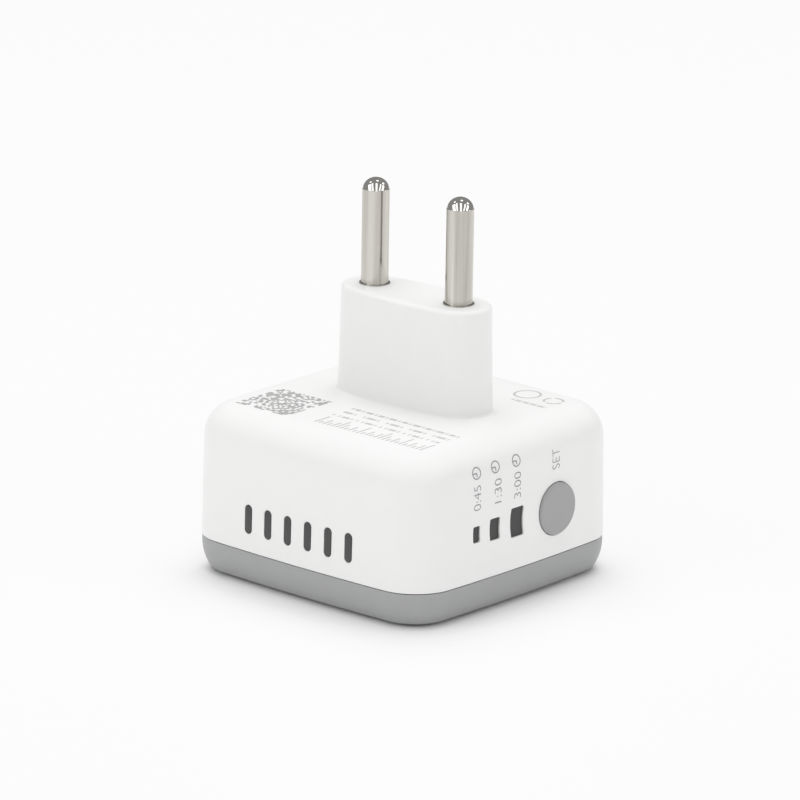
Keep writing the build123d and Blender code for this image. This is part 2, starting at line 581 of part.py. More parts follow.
def terminal(side):
    """The eye round a pin's tail, and the strip from it to the drop beside the centre."""
    x = side * PIN_SPACING / 2
    top = TERMINAL_Z + STRIP_THICKNESS
    half = STRIP_WIDTH / 2
    inner = side * (STRIP_X - STRIP_THICKNESS / 2)
    eye = post(x, PLUG_Y, TERMINAL_Z, top, STRIP_WIDTH + EYE_MARGIN)
    ends = sorted((inner, x))
    eye += block((ends[0], PLUG_Y - half, TERMINAL_Z), (ends[1], PLUG_Y + half, top))
    return eye - post(x, PLUG_Y, TERMINAL_Z, top, PIN_TAIL_DIAMETER + 2 * PIN_HOLE_CLEARANCE)


def make_neutral_bus_strip():
    half_t, half_w = STRIP_THICKNESS / 2, STRIP_WIDTH / 2
    foot_x = PIN_XS[1] - CONTACT_OUTER - half_t
    bend_z = CARRIER_TOP_Z + STRIP_BEND_RISE
    low_z = bend_z - STRIP_BEND_DROP
    foot_z = WELL_TOP_Z + CONTACT_HEIGHT - STRIP_LAP
    centre = [(STRIP_X, TERMINAL_Z + half_t), (STRIP_X, bend_z), (foot_x, low_z), (foot_x, foot_z)]
    left = [(x - half_t, z) for x, z in centre]
    right = [(x + half_t, z) for x, z in reversed(centre)]
    profile = Plane.XZ.offset(-PLUG_Y) * make_face(Polyline(*left, *right, close=True))
    return terminal(1) + extrude(profile, amount=half_w, both=True)


def make_live_bus_strip():
    """One flat stamping that comes down from the pin, crosses over the socket and drops to the board."""
    half_t, half_w = STRIP_THICKNESS / 2, STRIP_WIDTH / 2
    x_low, x_high = -STRIP_X - half_t, -STRIP_X + half_t
    cross_high = ROOF_Z - STRIP_ROOF_GAP
    cross_low = cross_high - STRIP_CROSS_HEIGHT
    body = block((x_low, PLUG_Y - half_w, cross_low), (x_high, PLUG_Y + half_w, TERMINAL_Z + half_t))
    body += block((x_low, STRIP_FOOT_Y, cross_low), (x_high, PLUG_Y, cross_high))
    body += block((x_low, STRIP_FOOT_Y, LEAD_Z), (x_high, LEG_Y + STRIP_THICKNESS, cross_high))
    return terminal(-1) + body


# ---- power board ----
def relay_lead_places():
    ys = (RELAY_Y - RELAY_LEAD_HALF_PITCH, RELAY_Y + RELAY_LEAD_HALF_PITCH)
    return [(x, y) for x in RELAY_LEAD_XS for y in ys]


def lead_pair(x, y, pitch):
    """Two lead places along X."""
    return [(x - pitch / 2, y), (x + pitch / 2, y)]


COMPONENT_LEADS = {
    "x_capacitor": lead_pair(X_CAPACITOR_X, FAR_ROW_Y - X_CAPACITOR[1] / 2, X_CAPACITOR_PITCH),
    "smoothing_capacitor": lead_pair(CAN_X, NEAR_ROW_Y + CAN_DIAMETER / 2, CAN_PITCH),
    "varistor": lead_pair(VARISTOR_X, FAR_ROW_Y - VARISTOR_THICKNESS / 2, VARISTOR_PITCH),
    "fuse": lead_pair(FUSE_X, NEAR_ROW_Y + FUSE[1] / 2, FUSE_PITCH),
    "dropper_resistor": lead_pair(RESISTOR_X, NEAR_ROW_Y + RESISTOR_DIAMETER / 2, RESISTOR_PITCH),
}


def board_screw_places():
    return [(x, y) for x, y in STANDOFF_PLACES if x < 0]


def leads(places, top_z):
    """Round leads from a component's underside through the board."""
    return [post(x, y, LEAD_Z, top_z, 2 * LEAD_RADIUS) for x, y in places]


def join(first, others):
    """One solid of a body and what grows from it."""
    for other in others:
        first += other
    return first


def make_power_board():
    sketch = case_outline(WALL + BOARD_EDGE_GAP)
    sketch -= oval(WELL_HALF_LENGTH, WELL_HALF_WIDTH, WELL_END_RADIUS, WELL_WALL + BOARD_EDGE_GAP / 2)
    half_cut = BOARD_CORNER_CUT / 2
    for x, y in SCREW_PLACES:
        sketch -= Pos(x, y) * Circle(COVER_POST_DIAMETER / 2 + BOARD_EDGE_GAP)
        corner = Pos(x + copysign(half_cut, x), y + copysign(half_cut, y))
        sketch -= corner * Rectangle(BOARD_CORNER_CUT, BOARD_CORNER_CUT)
    board = prism(sketch, BOARD_Z, BOARD_TOP)
    hole = 2 * (LEAD_RADIUS + BOARD_HOLE_CLEARANCE)
    places = relay_lead_places() + [place for group in COMPONENT_LEADS.values() for place in group]
    for x, y in places + header_pin_places():
        board -= post(x, y, BOARD_Z, BOARD_TOP, hole)
    for x, y in board_screw_places():
        board -= post(x, y, BOARD_Z, BOARD_TOP, BOARD_SCREW[2] + 2 * SCREW_CLEARANCE)
    gap = BOARD_HOLE_CLEARANCE
    half = LEG_WIDTH / 2 + gap
    for x in PIN_XS:
        low = (x - half, LEG_Y - gap, BOARD_Z)
        board -= block(low, (x + half, LEG_Y + STRIP_THICKNESS + gap, BOARD_TOP))
    half = STRIP_THICKNESS / 2 + gap
    low = (-STRIP_X - half, STRIP_FOOT_Y - gap, BOARD_Z)
    return board - block(low, (-STRIP_X + half, LEG_Y + STRIP_THICKNESS + gap, BOARD_TOP))


def make_board_screws():
    return [screw(x, y, BOARD_TOP, BOARD_SCREW, up=False) for x, y in board_screw_places()]


def boxed_component(places, size, edge_radius):
    """A box with rounded upright edges that stands on the board over its leads."""
    length, width, height = size
    x, y = (places[0][0] + places[1][0]) / 2, places[0][1]
    low = (x - length / 2, y - width / 2, BOARD_TOP)
    body = block(low, (x + length / 2, y + width / 2, BOARD_TOP + height))
    body = fillet(body.edges().filter_by(Axis.Z), edge_radius)
    return join(body, leads(places, BOARD_TOP))


def make_x_capacitor():
    return boxed_component(COMPONENT_LEADS["x_capacitor"], X_CAPACITOR, X_CAPACITOR_EDGE_RADIUS)


def make_fuse():
    return boxed_component(COMPONENT_LEADS["fuse"], FUSE, FUSE_EDGE_RADIUS)


def make_smoothing_capacitor():
    places = COMPONENT_LEADS["smoothing_capacitor"]
    y = places[0][1]
    can = post(CAN_X, y, BOARD_TOP, BOARD_TOP + CAN_HEIGHT, CAN_DIAMETER)
    can = fillet(can.edges().group_by(Axis.Z)[-1], CAN_EDGE_RADIUS)
    bead_reach = CAN_DIAMETER / 2 + CAN_BEAD_RADIUS - CAN_BEAD_DEPTH
    can -= Pos(CAN_X, y, BOARD_TOP + CAN_BEAD_RISE) * Torus(bead_reach, CAN_BEAD_RADIUS)
    return join(can, leads(places, BOARD_TOP))


def make_varistor():
    places = COMPONENT_LEADS["varistor"]
    z = BOARD_TOP + VARISTOR_RISE + VARISTOR_DIAMETER / 2
    disc = Rot(90, 0, 0) * Cylinder(VARISTOR_DIAMETER / 2, VARISTOR_THICKNESS)
    disc = Pos(VARISTOR_X, places[0][1], z) * fillet(disc.edges(), VARISTOR_EDGE_RADIUS)
    return join(disc, leads(places, BOARD_TOP + VARISTOR_RISE + VARISTOR_LEAD_LAP))


def make_dropper_resistor():
    (x1, y), (x2, _) = COMPONENT_LEADS["dropper_resistor"]
    z = BOARD_TOP + RESISTOR_RISE + RESISTOR_DIAMETER / 2
    body = rod(y, z, RESISTOR_X - RESISTOR_LENGTH / 2, RESISTOR_X + RESISTOR_LENGTH / 2, RESISTOR_DIAMETER)
    body = fillet(body.edges(), RESISTOR_EDGE_RADIUS)
    body += rod(y, z, x1, x2, 2 * LEAD_RADIUS)
    return join(body, leads([(x1, y), (x2, y)], z))


def board_chip(x, y, size):
    """A moulded chip under the power board with flat feet along its two long sides."""
    length, width, height, pitch = size
    low = (x - length / 2, y - width / 2, BOARD_Z - height)
    body = block(low, (x + length / 2, y + width / 2, BOARD_Z - CHIP_STANDOFF))
    for side in (-1, 1):
        ends = sorted((y + side * (width / 2 - FOOT_LAP), y + side * (width / 2 + FOOT_REACH)))
        for index in range(BOARD_CHIP_FEET):
            foot_x = x + (index - (BOARD_CHIP_FEET - 1) / 2) * pitch
            foot_low = (foot_x - FOOT_WIDTH / 2, ends[0], BOARD_Z - FOOT_THICKNESS)
            body += block(foot_low, (foot_x + FOOT_WIDTH / 2, ends[1], BOARD_Z))
    return body


# ---- relay ----
def make_relay_base():
    half_x, half_y = RELAY_LENGTH / 2, RELAY_WIDTH / 2
    low = (-half_x, RELAY_Y - half_y, BOARD_TOP)
    body = block(low, (half_x, RELAY_Y + half_y, RELAY_FLOOR_Z))
    return join(body, leads(relay_lead_places(), BOARD_TOP))


def make_relay_cover():
    half_x, half_y = RELAY_LENGTH / 2, RELAY_WIDTH / 2
    top = BOARD_TOP + RELAY_HEIGHT
    body = block((-half_x, RELAY_Y - half_y, RELAY_FLOOR_Z), (half_x, RELAY_Y + half_y, top))
    rounded = body.edges().filter_by(Axis.Z) + body.edges().group_by(Axis.Z)[-1]
    body = fillet(rounded, RELAY_EDGE_RADIUS)
    in_x, in_y = half_x - RELAY_WALL, half_y - RELAY_WALL
    return body - block((-in_x, RELAY_Y - in_y, RELAY_FLOOR_Z), (in_x, RELAY_Y + in_y, top - RELAY_WALL))


def make_relay_coil():
    top = BOBBIN_Z + COIL_HEIGHT
    coil = post(COIL_X, RELAY_Y, BOBBIN_Z, top, COIL_DIAMETER - 2 * COIL_WIND_INSET)
    for z in (BOBBIN_Z, top - BOBBIN_FLANGE):
        coil += post(COIL_X, RELAY_Y, z, z + BOBBIN_FLANGE, COIL_DIAMETER)
    return coil - post(COIL_X, RELAY_Y, BOBBIN_Z, top, CORE_DIAMETER)


def make_relay_yoke():
    half = YOKE_WIDTH / 2
    foot_x = COIL_X - COIL_DIAMETER / 2
    body = block((foot_x, RELAY_Y - half, RELAY_FLOOR_Z), (YOKE_END_X, RELAY_Y + half, BOBBIN_Z))
    body += block((YOKE_X, RELAY_Y - half, RELAY_FLOOR_Z), (YOKE_END_X, RELAY_Y + half, POLE_Z))
    rocking_edge = body.edges().filter_by(Axis.Y).group_by(Axis.Z)[-1].sort_by(Axis.X)[-1]
    body = fillet(rocking_edge, YOKE_EDGE_RADIUS)
    return body + post(COIL_X, RELAY_Y, BOBBIN_Z, POLE_Z, CORE_DIAMETER)


def opened(part):
    """A piece drawn with the armature closed, tipped up to its open rest."""
    hinge = Pos(HINGE_X, 0, HINGE_Z)
    return hinge * Rot(0, ARMATURE_OPEN_DEG, 0) * hinge.inverse() * part


def make_relay_armature():
    half = YOKE_WIDTH / 2
    low_z = POLE_Z + ARMATURE_SEAT
    low = (YOKE_END_X - ARMATURE_LENGTH, RELAY_Y - half, low_z)
    return opened(block(low, (YOKE_END_X, RELAY_Y + half, low_z + ARMATURE_THICKNESS)))


def make_relay_contact_blade():
    half = BLADE_WIDTH / 2
    high = (YOKE_END_X - BLADE_END_INSET, RELAY_Y + half, BLADE_Z + BLADE_THICKNESS)
    blade = block((YOKE_END_X - BLADE_LENGTH, RELAY_Y - half, BLADE_Z), high)
    low = BLADE_Z - RELAY_CONTACT_HEIGHT
    return opened(blade + post(CONTACT_X, RELAY_Y, low, BLADE_Z, RELAY_CONTACT_DIAMETER))


def make_relay_fixed_contact():
    top = BLADE_Z - RELAY_CONTACT_HEIGHT - ARMATURE_SEAT
    shelf = top - RELAY_CONTACT_HEIGHT
    half = BLADE_WIDTH / 2
    radius = RELAY_CONTACT_DIAMETER / 2
    body = post(CONTACT_X, RELAY_Y, shelf, top, RELAY_CONTACT_DIAMETER)
    low = (CONTACT_X - radius, RELAY_Y - half, shelf - STRIP_THICKNESS)
    body += block(low, (CONTACT_X + radius, RELAY_Y + half, shelf))
    post_low = (CONTACT_X - radius, RELAY_Y - half, RELAY_FLOOR_Z)
    return body + block(post_low, (CONTACT_X - radius + STRIP_THICKNESS, RELAY_Y + half, shelf))


# ---- control board and what it carries ----
def header_pin_places():
    x = CONTROL_INNER_X - HEADER_THICKNESS / 2
    return [(x, CONTROL_Y[0] + HEADER_INSET + index * HEADER_PITCH) for index in range(HEADER_PINS)]


def make_control_board():
    """An upright board, cut away below where it passes over the socket well."""
    low = (CONTROL_INNER_X, CONTROL_Y[0], CONTROL_FOOT_Z)
    board = block(low, (CONTROL_OUTER_X, CONTROL_Y[1], CONTROL_FOOT_Z + CONTROL_HEIGHT))
    cut_low = (CONTROL_INNER_X, WELL_EDGE_Y - CONTROL_WELL_GAP, CONTROL_FOOT_Z)
    return board - block(cut_low, (CONTROL_OUTER_X, CONTROL_Y[1], WELL_TOP_Z + CONTROL_WELL_GAP))


def make_board_header():
    places = header_pin_places()
    half_pitch = HEADER_PITCH / 2
    low = (CONTROL_INNER_X - HEADER_THICKNESS, places[0][1] - half_pitch, BOARD_TOP)
    body = block(low, (CONTROL_INNER_X, places[-1][1] + half_pitch, BOARD_TOP + HEADER_THICKNESS))
    return join(body, leads(places, BOARD_TOP))


def make_microcontroller():
    x, z = CONTROL_INNER_X, PANEL_Z + CHIP_RISE
    low = (x - CHIP_HEIGHT, CHIP_Y - CHIP_WIDTH / 2, z - CHIP_LENGTH / 2)
    body = block(low, (x - CHIP_STANDOFF, CHIP_Y + CHIP_WIDTH / 2, z + CHIP_LENGTH / 2))
    for side in (-1, 1):
        near, far = CHIP_WIDTH / 2 - FOOT_LAP, CHIP_WIDTH / 2 + CHIP_FOOT_REACH
        ends = sorted((CHIP_Y + side * near, CHIP_Y + side * far))
        for index in range(CHIP_FEET):
            foot_z = z + (index - (CHIP_FEET - 1) / 2) * CHIP_PITCH
            foot_low = (x - CHIP_FOOT_THICKNESS, ends[0], foot_z - CHIP_FOOT_WIDTH / 2)
            body += block(foot_low, (x, ends[1], foot_z + CHIP_FOOT_WIDTH / 2))
    return body


def make_crystal():
    radius = CRYSTAL_DIAMETER / 2
    can = Cylinder(radius, CRYSTAL_LENGTH)
    can = fillet(can.edges(), CRYSTAL_EDGE_RADIUS)
    return Pos(CONTROL_INNER_X - radius, CRYSTAL_Y, PANEL_Z + CRYSTAL_RISE) * can


def make_indicator_light(y):
    depth, width, height = LIGHT_SIZE
    low = (CONTROL_OUTER_X, y - width / 2, PANEL_Z - height / 2)
    base = block(low, (CONTROL_OUTER_X + depth * LIGHT_BASE_SHARE, y + width / 2, PANEL_Z + height / 2))
    return base + rod(y, PANEL_Z, CONTROL_OUTER_X, CONTROL_OUTER_X + depth, width * LIGHT_DOME_SHARE)


def make_light_baffle():
    y_low = WINDOWS["short"][0] - PANEL_EDGE
    last_y, last_width, last_height = WINDOWS["long"]
    rim = WINDOW_LIP + BAFFLE_CLEARANCE + BAFFLE_WALL
    half_z = last_height / 2 + rim
    x_low, x_high = CONTROL_OUTER_X, PANEL_X
    high = (x_high, last_y + last_width / 2 + rim, PANEL_Z + half_z)
    body = block((x_low, y_low, PANEL_Z - half_z), high)
    grow = 2 * (WINDOW_LIP + BAFFLE_CLEARANCE)
    for y, width, height in WINDOWS.values():
        body -= panel_prism(y, PANEL_Z, width + grow, height + grow, WINDOW_CORNER_RADIUS, x_low, x_high)
    return body


def make_window(y, width, height):
    face_x = side_x(y, PANEL_Z) - WINDOW_RECESS
    inner_x = CONTROL_OUTER_X + LIGHT_SIZE[0] + WINDOW_LIGHT_GAP
    body = window_prism(y, width, height, inner_x, face_x)
    wide, tall = width + 2 * WINDOW_LIP, height + 2 * WINDOW_LIP
    lip_x = PANEL_X - WINDOW_LIP_THICKNESS
    return body + panel_prism(y, PANEL_Z, wide, tall, WINDOW_CORNER_RADIUS, lip_x, PANEL_X)


def make_set_button():
    face_x = side_x(BUTTON_Y, PANEL_Z) + BUTTON_PROUD
    cap = rod(BUTTON_Y, PANEL_Z, FLANGE_X, face_x, BUTTON_DIAMETER)
    cap = fillet(cap.edges().group_by(Axis.X)[-1], BUTTON_EDGE_RADIUS)
    cap += rod(BUTTON_Y, PANEL_Z, FLANGE_X, FLANGE_X + BUTTON_FLANGE_THICKNESS, BUTTON_FLANGE_DIAMETER)
    return cap + rod(BUTTON_Y, PANEL_Z, FLANGE_X - BUTTON_STEM_LENGTH, FLANGE_X, BUTTON_STEM_DIAMETER)


def make_switch_body():
    half = SWITCH_SIZE / 2
    low = (CONTROL_OUTER_X, BUTTON_Y - half, PANEL_Z - half)
    body = block(low, (CONTROL_OUTER_X + SWITCH_BODY_HEIGHT, BUTTON_Y + half, PANEL_Z + half))
    bore = PLUNGER_DIAMETER + 2 * PLUNGER_CLEARANCE
    floor_x = CONTROL_OUTER_X + SWITCH_BASE
    return body - rod(BUTTON_Y, PANEL_Z, floor_x, CONTROL_OUTER_X + SWITCH_BODY_HEIGHT, bore)


def make_switch_plunger():
    return rod(BUTTON_Y, PANEL_Z, PLUNGER_TIP_X - PLUNGER_LENGTH, PLUNGER_TIP_X, PLUNGER_DIAMETER)


# ---- the whole assembly ----
PARTS = {
    "plug_housing": make_plug_housing(),
    "socket_cover": make_socket_cover(),
    "case_screws": make_case_screws(),
    "plug_pin_live": make_plug_pin(PIN_XS[0]),
    "plug_pin_neutral": make_plug_pin(PIN_XS[1]),
    "pin_carrier": make_pin_carrier(),
    "pin_carrier_screw": make_pin_carrier_screw(),
    "contact_carrier": make_contact_carrier(),
    "contact_carrier_screws": make_contact_carrier_screws(),
    "socket_contact_live": make_socket_contact(PIN_XS[0]),
    "socket_contact_neutral": make_socket_contact(PIN_XS[1]),
    "live_bus_strip": make_live_bus_strip(),
    "neutral_bus_strip": make_neutral_bus_strip(),
    "power_board": make_power_board(),
    "board_screws": make_board_screws(),
    "x_capacitor": make_x_capacitor(),
    "smoothing_capacitor": make_smoothing_capacitor(),
    "varistor": make_varistor(),
    "fuse": make_fuse(),
    "dropper_resistor": make_dropper_resistor(),
    "bridge_rectifier": board_chip(RESISTOR_X, CHIP_ROW_Y, BRIDGE_CHIP),
    "voltage_regulator": board_chip(VARISTOR_X, CHIP_ROW_Y, REGULATOR_CHIP),
    "relay_driver": board_chip(0, RELAY_Y, DRIVER_CHIP),
    "relay_base": make_relay_base(),
    "relay_cover": make_relay_cover(),
    "relay_coil": make_relay_coil(),
    "relay_yoke": make_relay_yoke(),
    "relay_armature": make_relay_armature(),
    "relay_contact_blade": make_relay_contact_blade(),
    "relay_fixed_contact": make_relay_fixed_contact(),
    "control_board": make_control_board(),
    "board_header": make_board_header(),
    "microcontroller": make_microcontroller(),
    "crystal": make_crystal(),
    "light_baffle": make_light_baffle(),
    "set_button": make_set_button(),
    "switch_body": make_switch_body(),
    "switch_plunger": make_switch_plunger(),
}
for size_name, (window_y, window_width, window_height) in WINDOWS.items():
    PARTS[f"window_{size_name}"] = make_window(window_y, window_width, window_height)
    PARTS[f"indicator_light_{size_name}"] = make_indicator_light(window_y)

os.makedirs("parts", exist_ok=True)
for node, shape in PARTS.items():
    solid = Compound(children=shape) if isinstance(shape, list) else shape
    solid.label = node
    export_step(solid, f"parts/{node}.step")
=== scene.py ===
import math

import bpy
from mathutils import Matrix, Vector


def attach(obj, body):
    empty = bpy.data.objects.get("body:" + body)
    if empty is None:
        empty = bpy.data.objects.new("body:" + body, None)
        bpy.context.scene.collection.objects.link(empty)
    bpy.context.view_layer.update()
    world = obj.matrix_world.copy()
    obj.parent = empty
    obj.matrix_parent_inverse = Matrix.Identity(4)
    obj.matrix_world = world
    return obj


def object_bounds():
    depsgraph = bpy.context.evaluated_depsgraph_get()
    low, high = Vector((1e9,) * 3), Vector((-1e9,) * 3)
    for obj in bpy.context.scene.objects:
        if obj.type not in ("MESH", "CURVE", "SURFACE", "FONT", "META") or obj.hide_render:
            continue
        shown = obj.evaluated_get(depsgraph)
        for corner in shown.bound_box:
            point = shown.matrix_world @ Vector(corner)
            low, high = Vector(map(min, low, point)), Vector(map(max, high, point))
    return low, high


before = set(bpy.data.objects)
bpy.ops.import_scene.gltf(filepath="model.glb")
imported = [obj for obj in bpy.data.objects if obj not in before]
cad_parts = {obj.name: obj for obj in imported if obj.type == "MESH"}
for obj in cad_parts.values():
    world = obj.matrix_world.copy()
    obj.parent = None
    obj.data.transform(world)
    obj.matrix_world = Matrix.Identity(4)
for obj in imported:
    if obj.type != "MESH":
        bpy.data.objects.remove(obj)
cad_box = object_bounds()

# ---- Camera ----
# A long lens looks down on the corner between the grooved side and the button side.
# The object's upright leans a little to the right in the view.
MM = 0.001
LENS = 277.8
SENSOR = 36.0
CAMERA_DISTANCE = 1052.3 * MM
CAMERA_AZIMUTH = math.radians(41.2)
CAMERA_ELEVATION = math.radians(16.52)
CAMERA_ROLL = math.radians(0.883)
AIM_ASIDE = -0.80 * MM
AIM_HEIGHT = 29.88 * MM

flat_right = Vector((math.cos(CAMERA_AZIMUTH), math.sin(CAMERA_AZIMUTH), 0))
camera_back = Vector((
    math.sin(CAMERA_AZIMUTH) * math.cos(CAMERA_ELEVATION),
    -math.cos(CAMERA_AZIMUTH) * math.cos(CAMERA_ELEVATION),
    math.sin(CAMERA_ELEVATION),
))
flat_up = camera_back.cross(flat_right)
camera_right = flat_right * math.cos(CAMERA_ROLL) + flat_up * math.sin(CAMERA_ROLL)
camera_up = camera_back.cross(camera_right)

camera_data = bpy.data.cameras.new("camera")
camera_data.lens = LENS
camera_data.sensor_width = SENSOR
camera_data.clip_start = 10 * MM
camera_data.clip_end = 20
camera = bpy.data.objects.new("camera", camera_data)
bpy.context.scene.collection.objects.link(camera)
aim = flat_right * AIM_ASIDE + Vector((0, 0, AIM_HEIGHT))
turn = Matrix((camera_right, camera_up, camera_back)).transposed().to_4x4()
camera.matrix_world = Matrix.Translation(aim + camera_back * CAMERA_DISTANCE) @ turn
bpy.context.scene.camera = camera

# ---- Studio ----
# A seamless sheet of satin white paper lies under the object, wider than any view of it.
# Five long diffusers lean outwards round the front and over the object, with three small lamps round
# its back, and one wide diffuser hangs over it all, too soft to show as a shape in polished metal.
FLOOR_WHITE = (0.93, 0.93, 0.93)
FLOOR_HALF = 3.0
FLOOR_ROUGHNESS = 0.45
FLOOR_SHEEN = 0.35             # a little less shine than bare plastic has
WORLD_STRENGTH = 0.283
WORLD_SEEN = 0.96              # how bright the air looks where a view passes over the paper
SHOULDER_WHITE = 1.6           # the light that comes out as full white
SHOULDER = ((0.25, 0.25), (0.5, 0.5), (0.8, 0.79), (1.0, 0.92), (1.25, 0.985))    # keeps the whites' detail
FAN_DISTANCE = 1.30
FAN = {                        # name: (lower end, upper end, width, watts), each end as two angles
    "fan_far_left": ((-48, 12), (-85, 46), 0.45, 2.82),
    "fan_left": ((-22, 13), (-75, 65), 0.26, 1.43),
    "fan_middle": ((4, 13), (14, 78), 0.28, 1.60),
    "fan_right": ((26, 13), (74, 57), 0.20, 1.10),
    "fan_far_right": ((53, 14), (87, 38), 0.30, 1.62),
}
LAMP_SIZE = (0.22, 0.22)
LAMP_TARGET = (0, 0, 0.03)
LAMPS = {                      # name: (degrees to the camera's right, degrees above the floor, watts)
    "lamp_left": (-112, 55, 0.28),
    "lamp_middle": (152, 74, 0.50),
    "lamp_right": (105, 45, 0.45),
}
BACK_DIFFUSER = ((-0.35, 0.40, 1.30), (-0.30, 0.35, 0), (1.4, 1.4), 19.6)    # place, target, size, watts


def clear_selection():
    """Leaves nothing selected."""
    for thing in bpy.context.selected_objects:
        thing.select_set(False)


def new_material(name):
    """An empty material with its Principled shader, and both handed back."""
    material = bpy.data.materials.new(name)
    material.use_nodes = True
    return material, material.node_tree.nodes["Principled BSDF"]


def diffuser(name, place, target, size, watts):
    """A soft rectangular light at a place, turned to its target."""
    light_data = bpy.data.lights.new(name, "AREA")
    light_data.shape = "RECTANGLE"
    light_data.size, light_data.size_y = size
    light_data.energy = watts
    light = bpy.data.objects.new(name, light_data)
    scene.collection.objects.link(light)
    light.location = place
    light.rotation_euler = (Vector(target) - Vector(place)).to_track_quat("-Z", "Y").to_euler()
    return light


scene = bpy.context.scene
scene.view_settings.view_transform = "Standard"
scene.view_settings.look = "None"
scene.view_settings.use_curve_mapping = True
response = scene.view_settings.curve_mapping
response.white_level = (SHOULDER_WHITE, SHOULDER_WHITE, SHOULDER_WHITE)
tone = response.curves[3]
for light_in, light_out in SHOULDER:
    tone.points.new(light_in / SHOULDER_WHITE, light_out)
response.update()

clear_selection()
bpy.ops.mesh.primitive_plane_add(size=2 * FLOOR_HALF)
floor = bpy.context.object
floor.name = "floor"
floor_paper, shader = new_material("floor_paper")
shader.inputs["Base Color"].default_value = (*FLOOR_WHITE, 1)
shader.inputs["Roughness"].default_value = FLOOR_ROUGHNESS
shader.inputs["Specular IOR Level"].default_value = FLOOR_SHEEN
floor.data.materials.append(floor_paper)

world = bpy.data.worlds.new("studio_air")
world.use_nodes = True
nodes, link = world.node_tree.nodes, world.node_tree.links.new
air = nodes["Background"]
air.inputs["Strength"].default_value = WORLD_STRENGTH
seen_air = nodes.new("ShaderNodeBackground")
seen_air.inputs["Color"].default_value = (1, 1, 1, 1)
seen_air.inputs["Strength"].default_value = WORLD_SEEN
air.inputs["Color"].default_value = (1, 1, 1, 1)
view_path = nodes.new("ShaderNodeLightPath")
air_mix = nodes.new("ShaderNodeMixShader")
link(view_path.outputs["Is Camera Ray"], air_mix.inputs["Fac"])
link(air.outputs["Background"], air_mix.inputs[1])
link(seen_air.outputs["Background"], air_mix.inputs[2])
link(air_mix.outputs["Shader"], nodes["World Output"].inputs["Surface"])
scene.world = world


def around(aside, height):
    """A place so many degrees to the right of the camera and so many above the floor."""
    bearing = CAMERA_AZIMUTH + math.radians(aside)
    rise = math.radians(height)
    return FAN_DISTANCE * Vector((
        math.sin(bearing) * math.cos(rise),
        -math.cos(bearing) * math.cos(rise),
        math.sin(rise),
    ))


for name, (low_end, high_end, width, watts) in FAN.items():
    low, high = around(*low_end), around(*high_end)
    middle = (low + high) / 2
    strip = diffuser(name, middle, (0, 0, 0), (width, (high - low).length), watts)
    along = (high - low).normalized()
    across = along.cross(middle).normalized()
    strip.rotation_euler = Matrix((across, along, across.cross(along))).transposed().to_euler()
for name, (aside, height, watts) in LAMPS.items():
    diffuser(name, around(aside, height), LAMP_TARGET, LAMP_SIZE, watts)
place, target, size, watts = BACK_DIFFUSER
diffuser("back_diffuser", place, target, size, watts).visible_glossy = False

# ---- Plug housing ----
# One white ABS moulding: the drafted case and the long oval boss that carries the plug.
# It is moulded in a lightly polished tool, so it is satin smooth with a faint ripple.
HOUSING_WHITE = (0.86, 0.86, 0.85)
HOUSING_SHADE = (0.835, 0.835, 0.825)
HOUSING_ROUGHNESS = (0.30, 0.40)
HOUSING_GLOW = 0.12                     # how much light soaks into the plastic
HOUSING_GLOW_DEPTH = (0.9 * MM, 0.9 * MM, 0.8 * MM)
RELIEF_DEPTH = 0.05 * MM                # the deepest grain on any of the skins


def new_group(name, inputs, outputs):
    """An empty shader node group with number or vector inputs and named outputs."""
    group = bpy.data.node_groups.new(name, "ShaderNodeTree")
    for label, value in inputs.items():
        kind = "NodeSocketVector" if isinstance(value, tuple) else "NodeSocketFloat"
        socket = group.interface.new_socket(label, in_out="INPUT", socket_type=kind)
        socket.default_value = value
    for label, kind in outputs.items():
        group.interface.new_socket(label, in_out="OUTPUT", socket_type=kind)
    return group, group.nodes.new("NodeGroupInput"), group.nodes.new("NodeGroupOutput")


# Moulded skin: a slow ripple from the tool's polish, and a fine grain over it.
moulded_skin, skin_in, skin_out = new_group(
    "moulded_skin",
    {"Ripple Scale": 260.0, "Grain Scale": 5000.0, "Grain Share": 0.3},
    {"Height": "NodeSocketFloat", "Mottle": "NodeSocketFloat"},
)
skin_place = moulded_skin.nodes.new("ShaderNodeTexCoord")
ripple = moulded_skin.nodes.new("ShaderNodeTexNoise")
ripple.inputs["Detail"].default_value = 2
grain = moulded_skin.nodes.new("ShaderNodeTexNoise")
grain.inputs["Detail"].default_value = 3
skin_mix = moulded_skin.nodes.new("ShaderNodeMix")
wire = moulded_skin.links.new
wire(skin_place.outputs["Object"], ripple.inputs["Vector"])
wire(skin_place.outputs["Object"], grain.inputs["Vector"])
wire(skin_in.outputs["Ripple Scale"], ripple.inputs["Scale"])
wire(skin_in.outputs["Grain Scale"], grain.inputs["Scale"])
wire(skin_in.outputs["Grain Share"], skin_mix.inputs["Factor"])
wire(ripple.outputs["Fac"], skin_mix.inputs["A"])
wire(grain.outputs["Fac"], skin_mix.inputs["B"])
wire(skin_mix.outputs["Result"], skin_out.inputs["Height"])
wire(ripple.outputs["Fac"], skin_out.inputs["Mottle"])


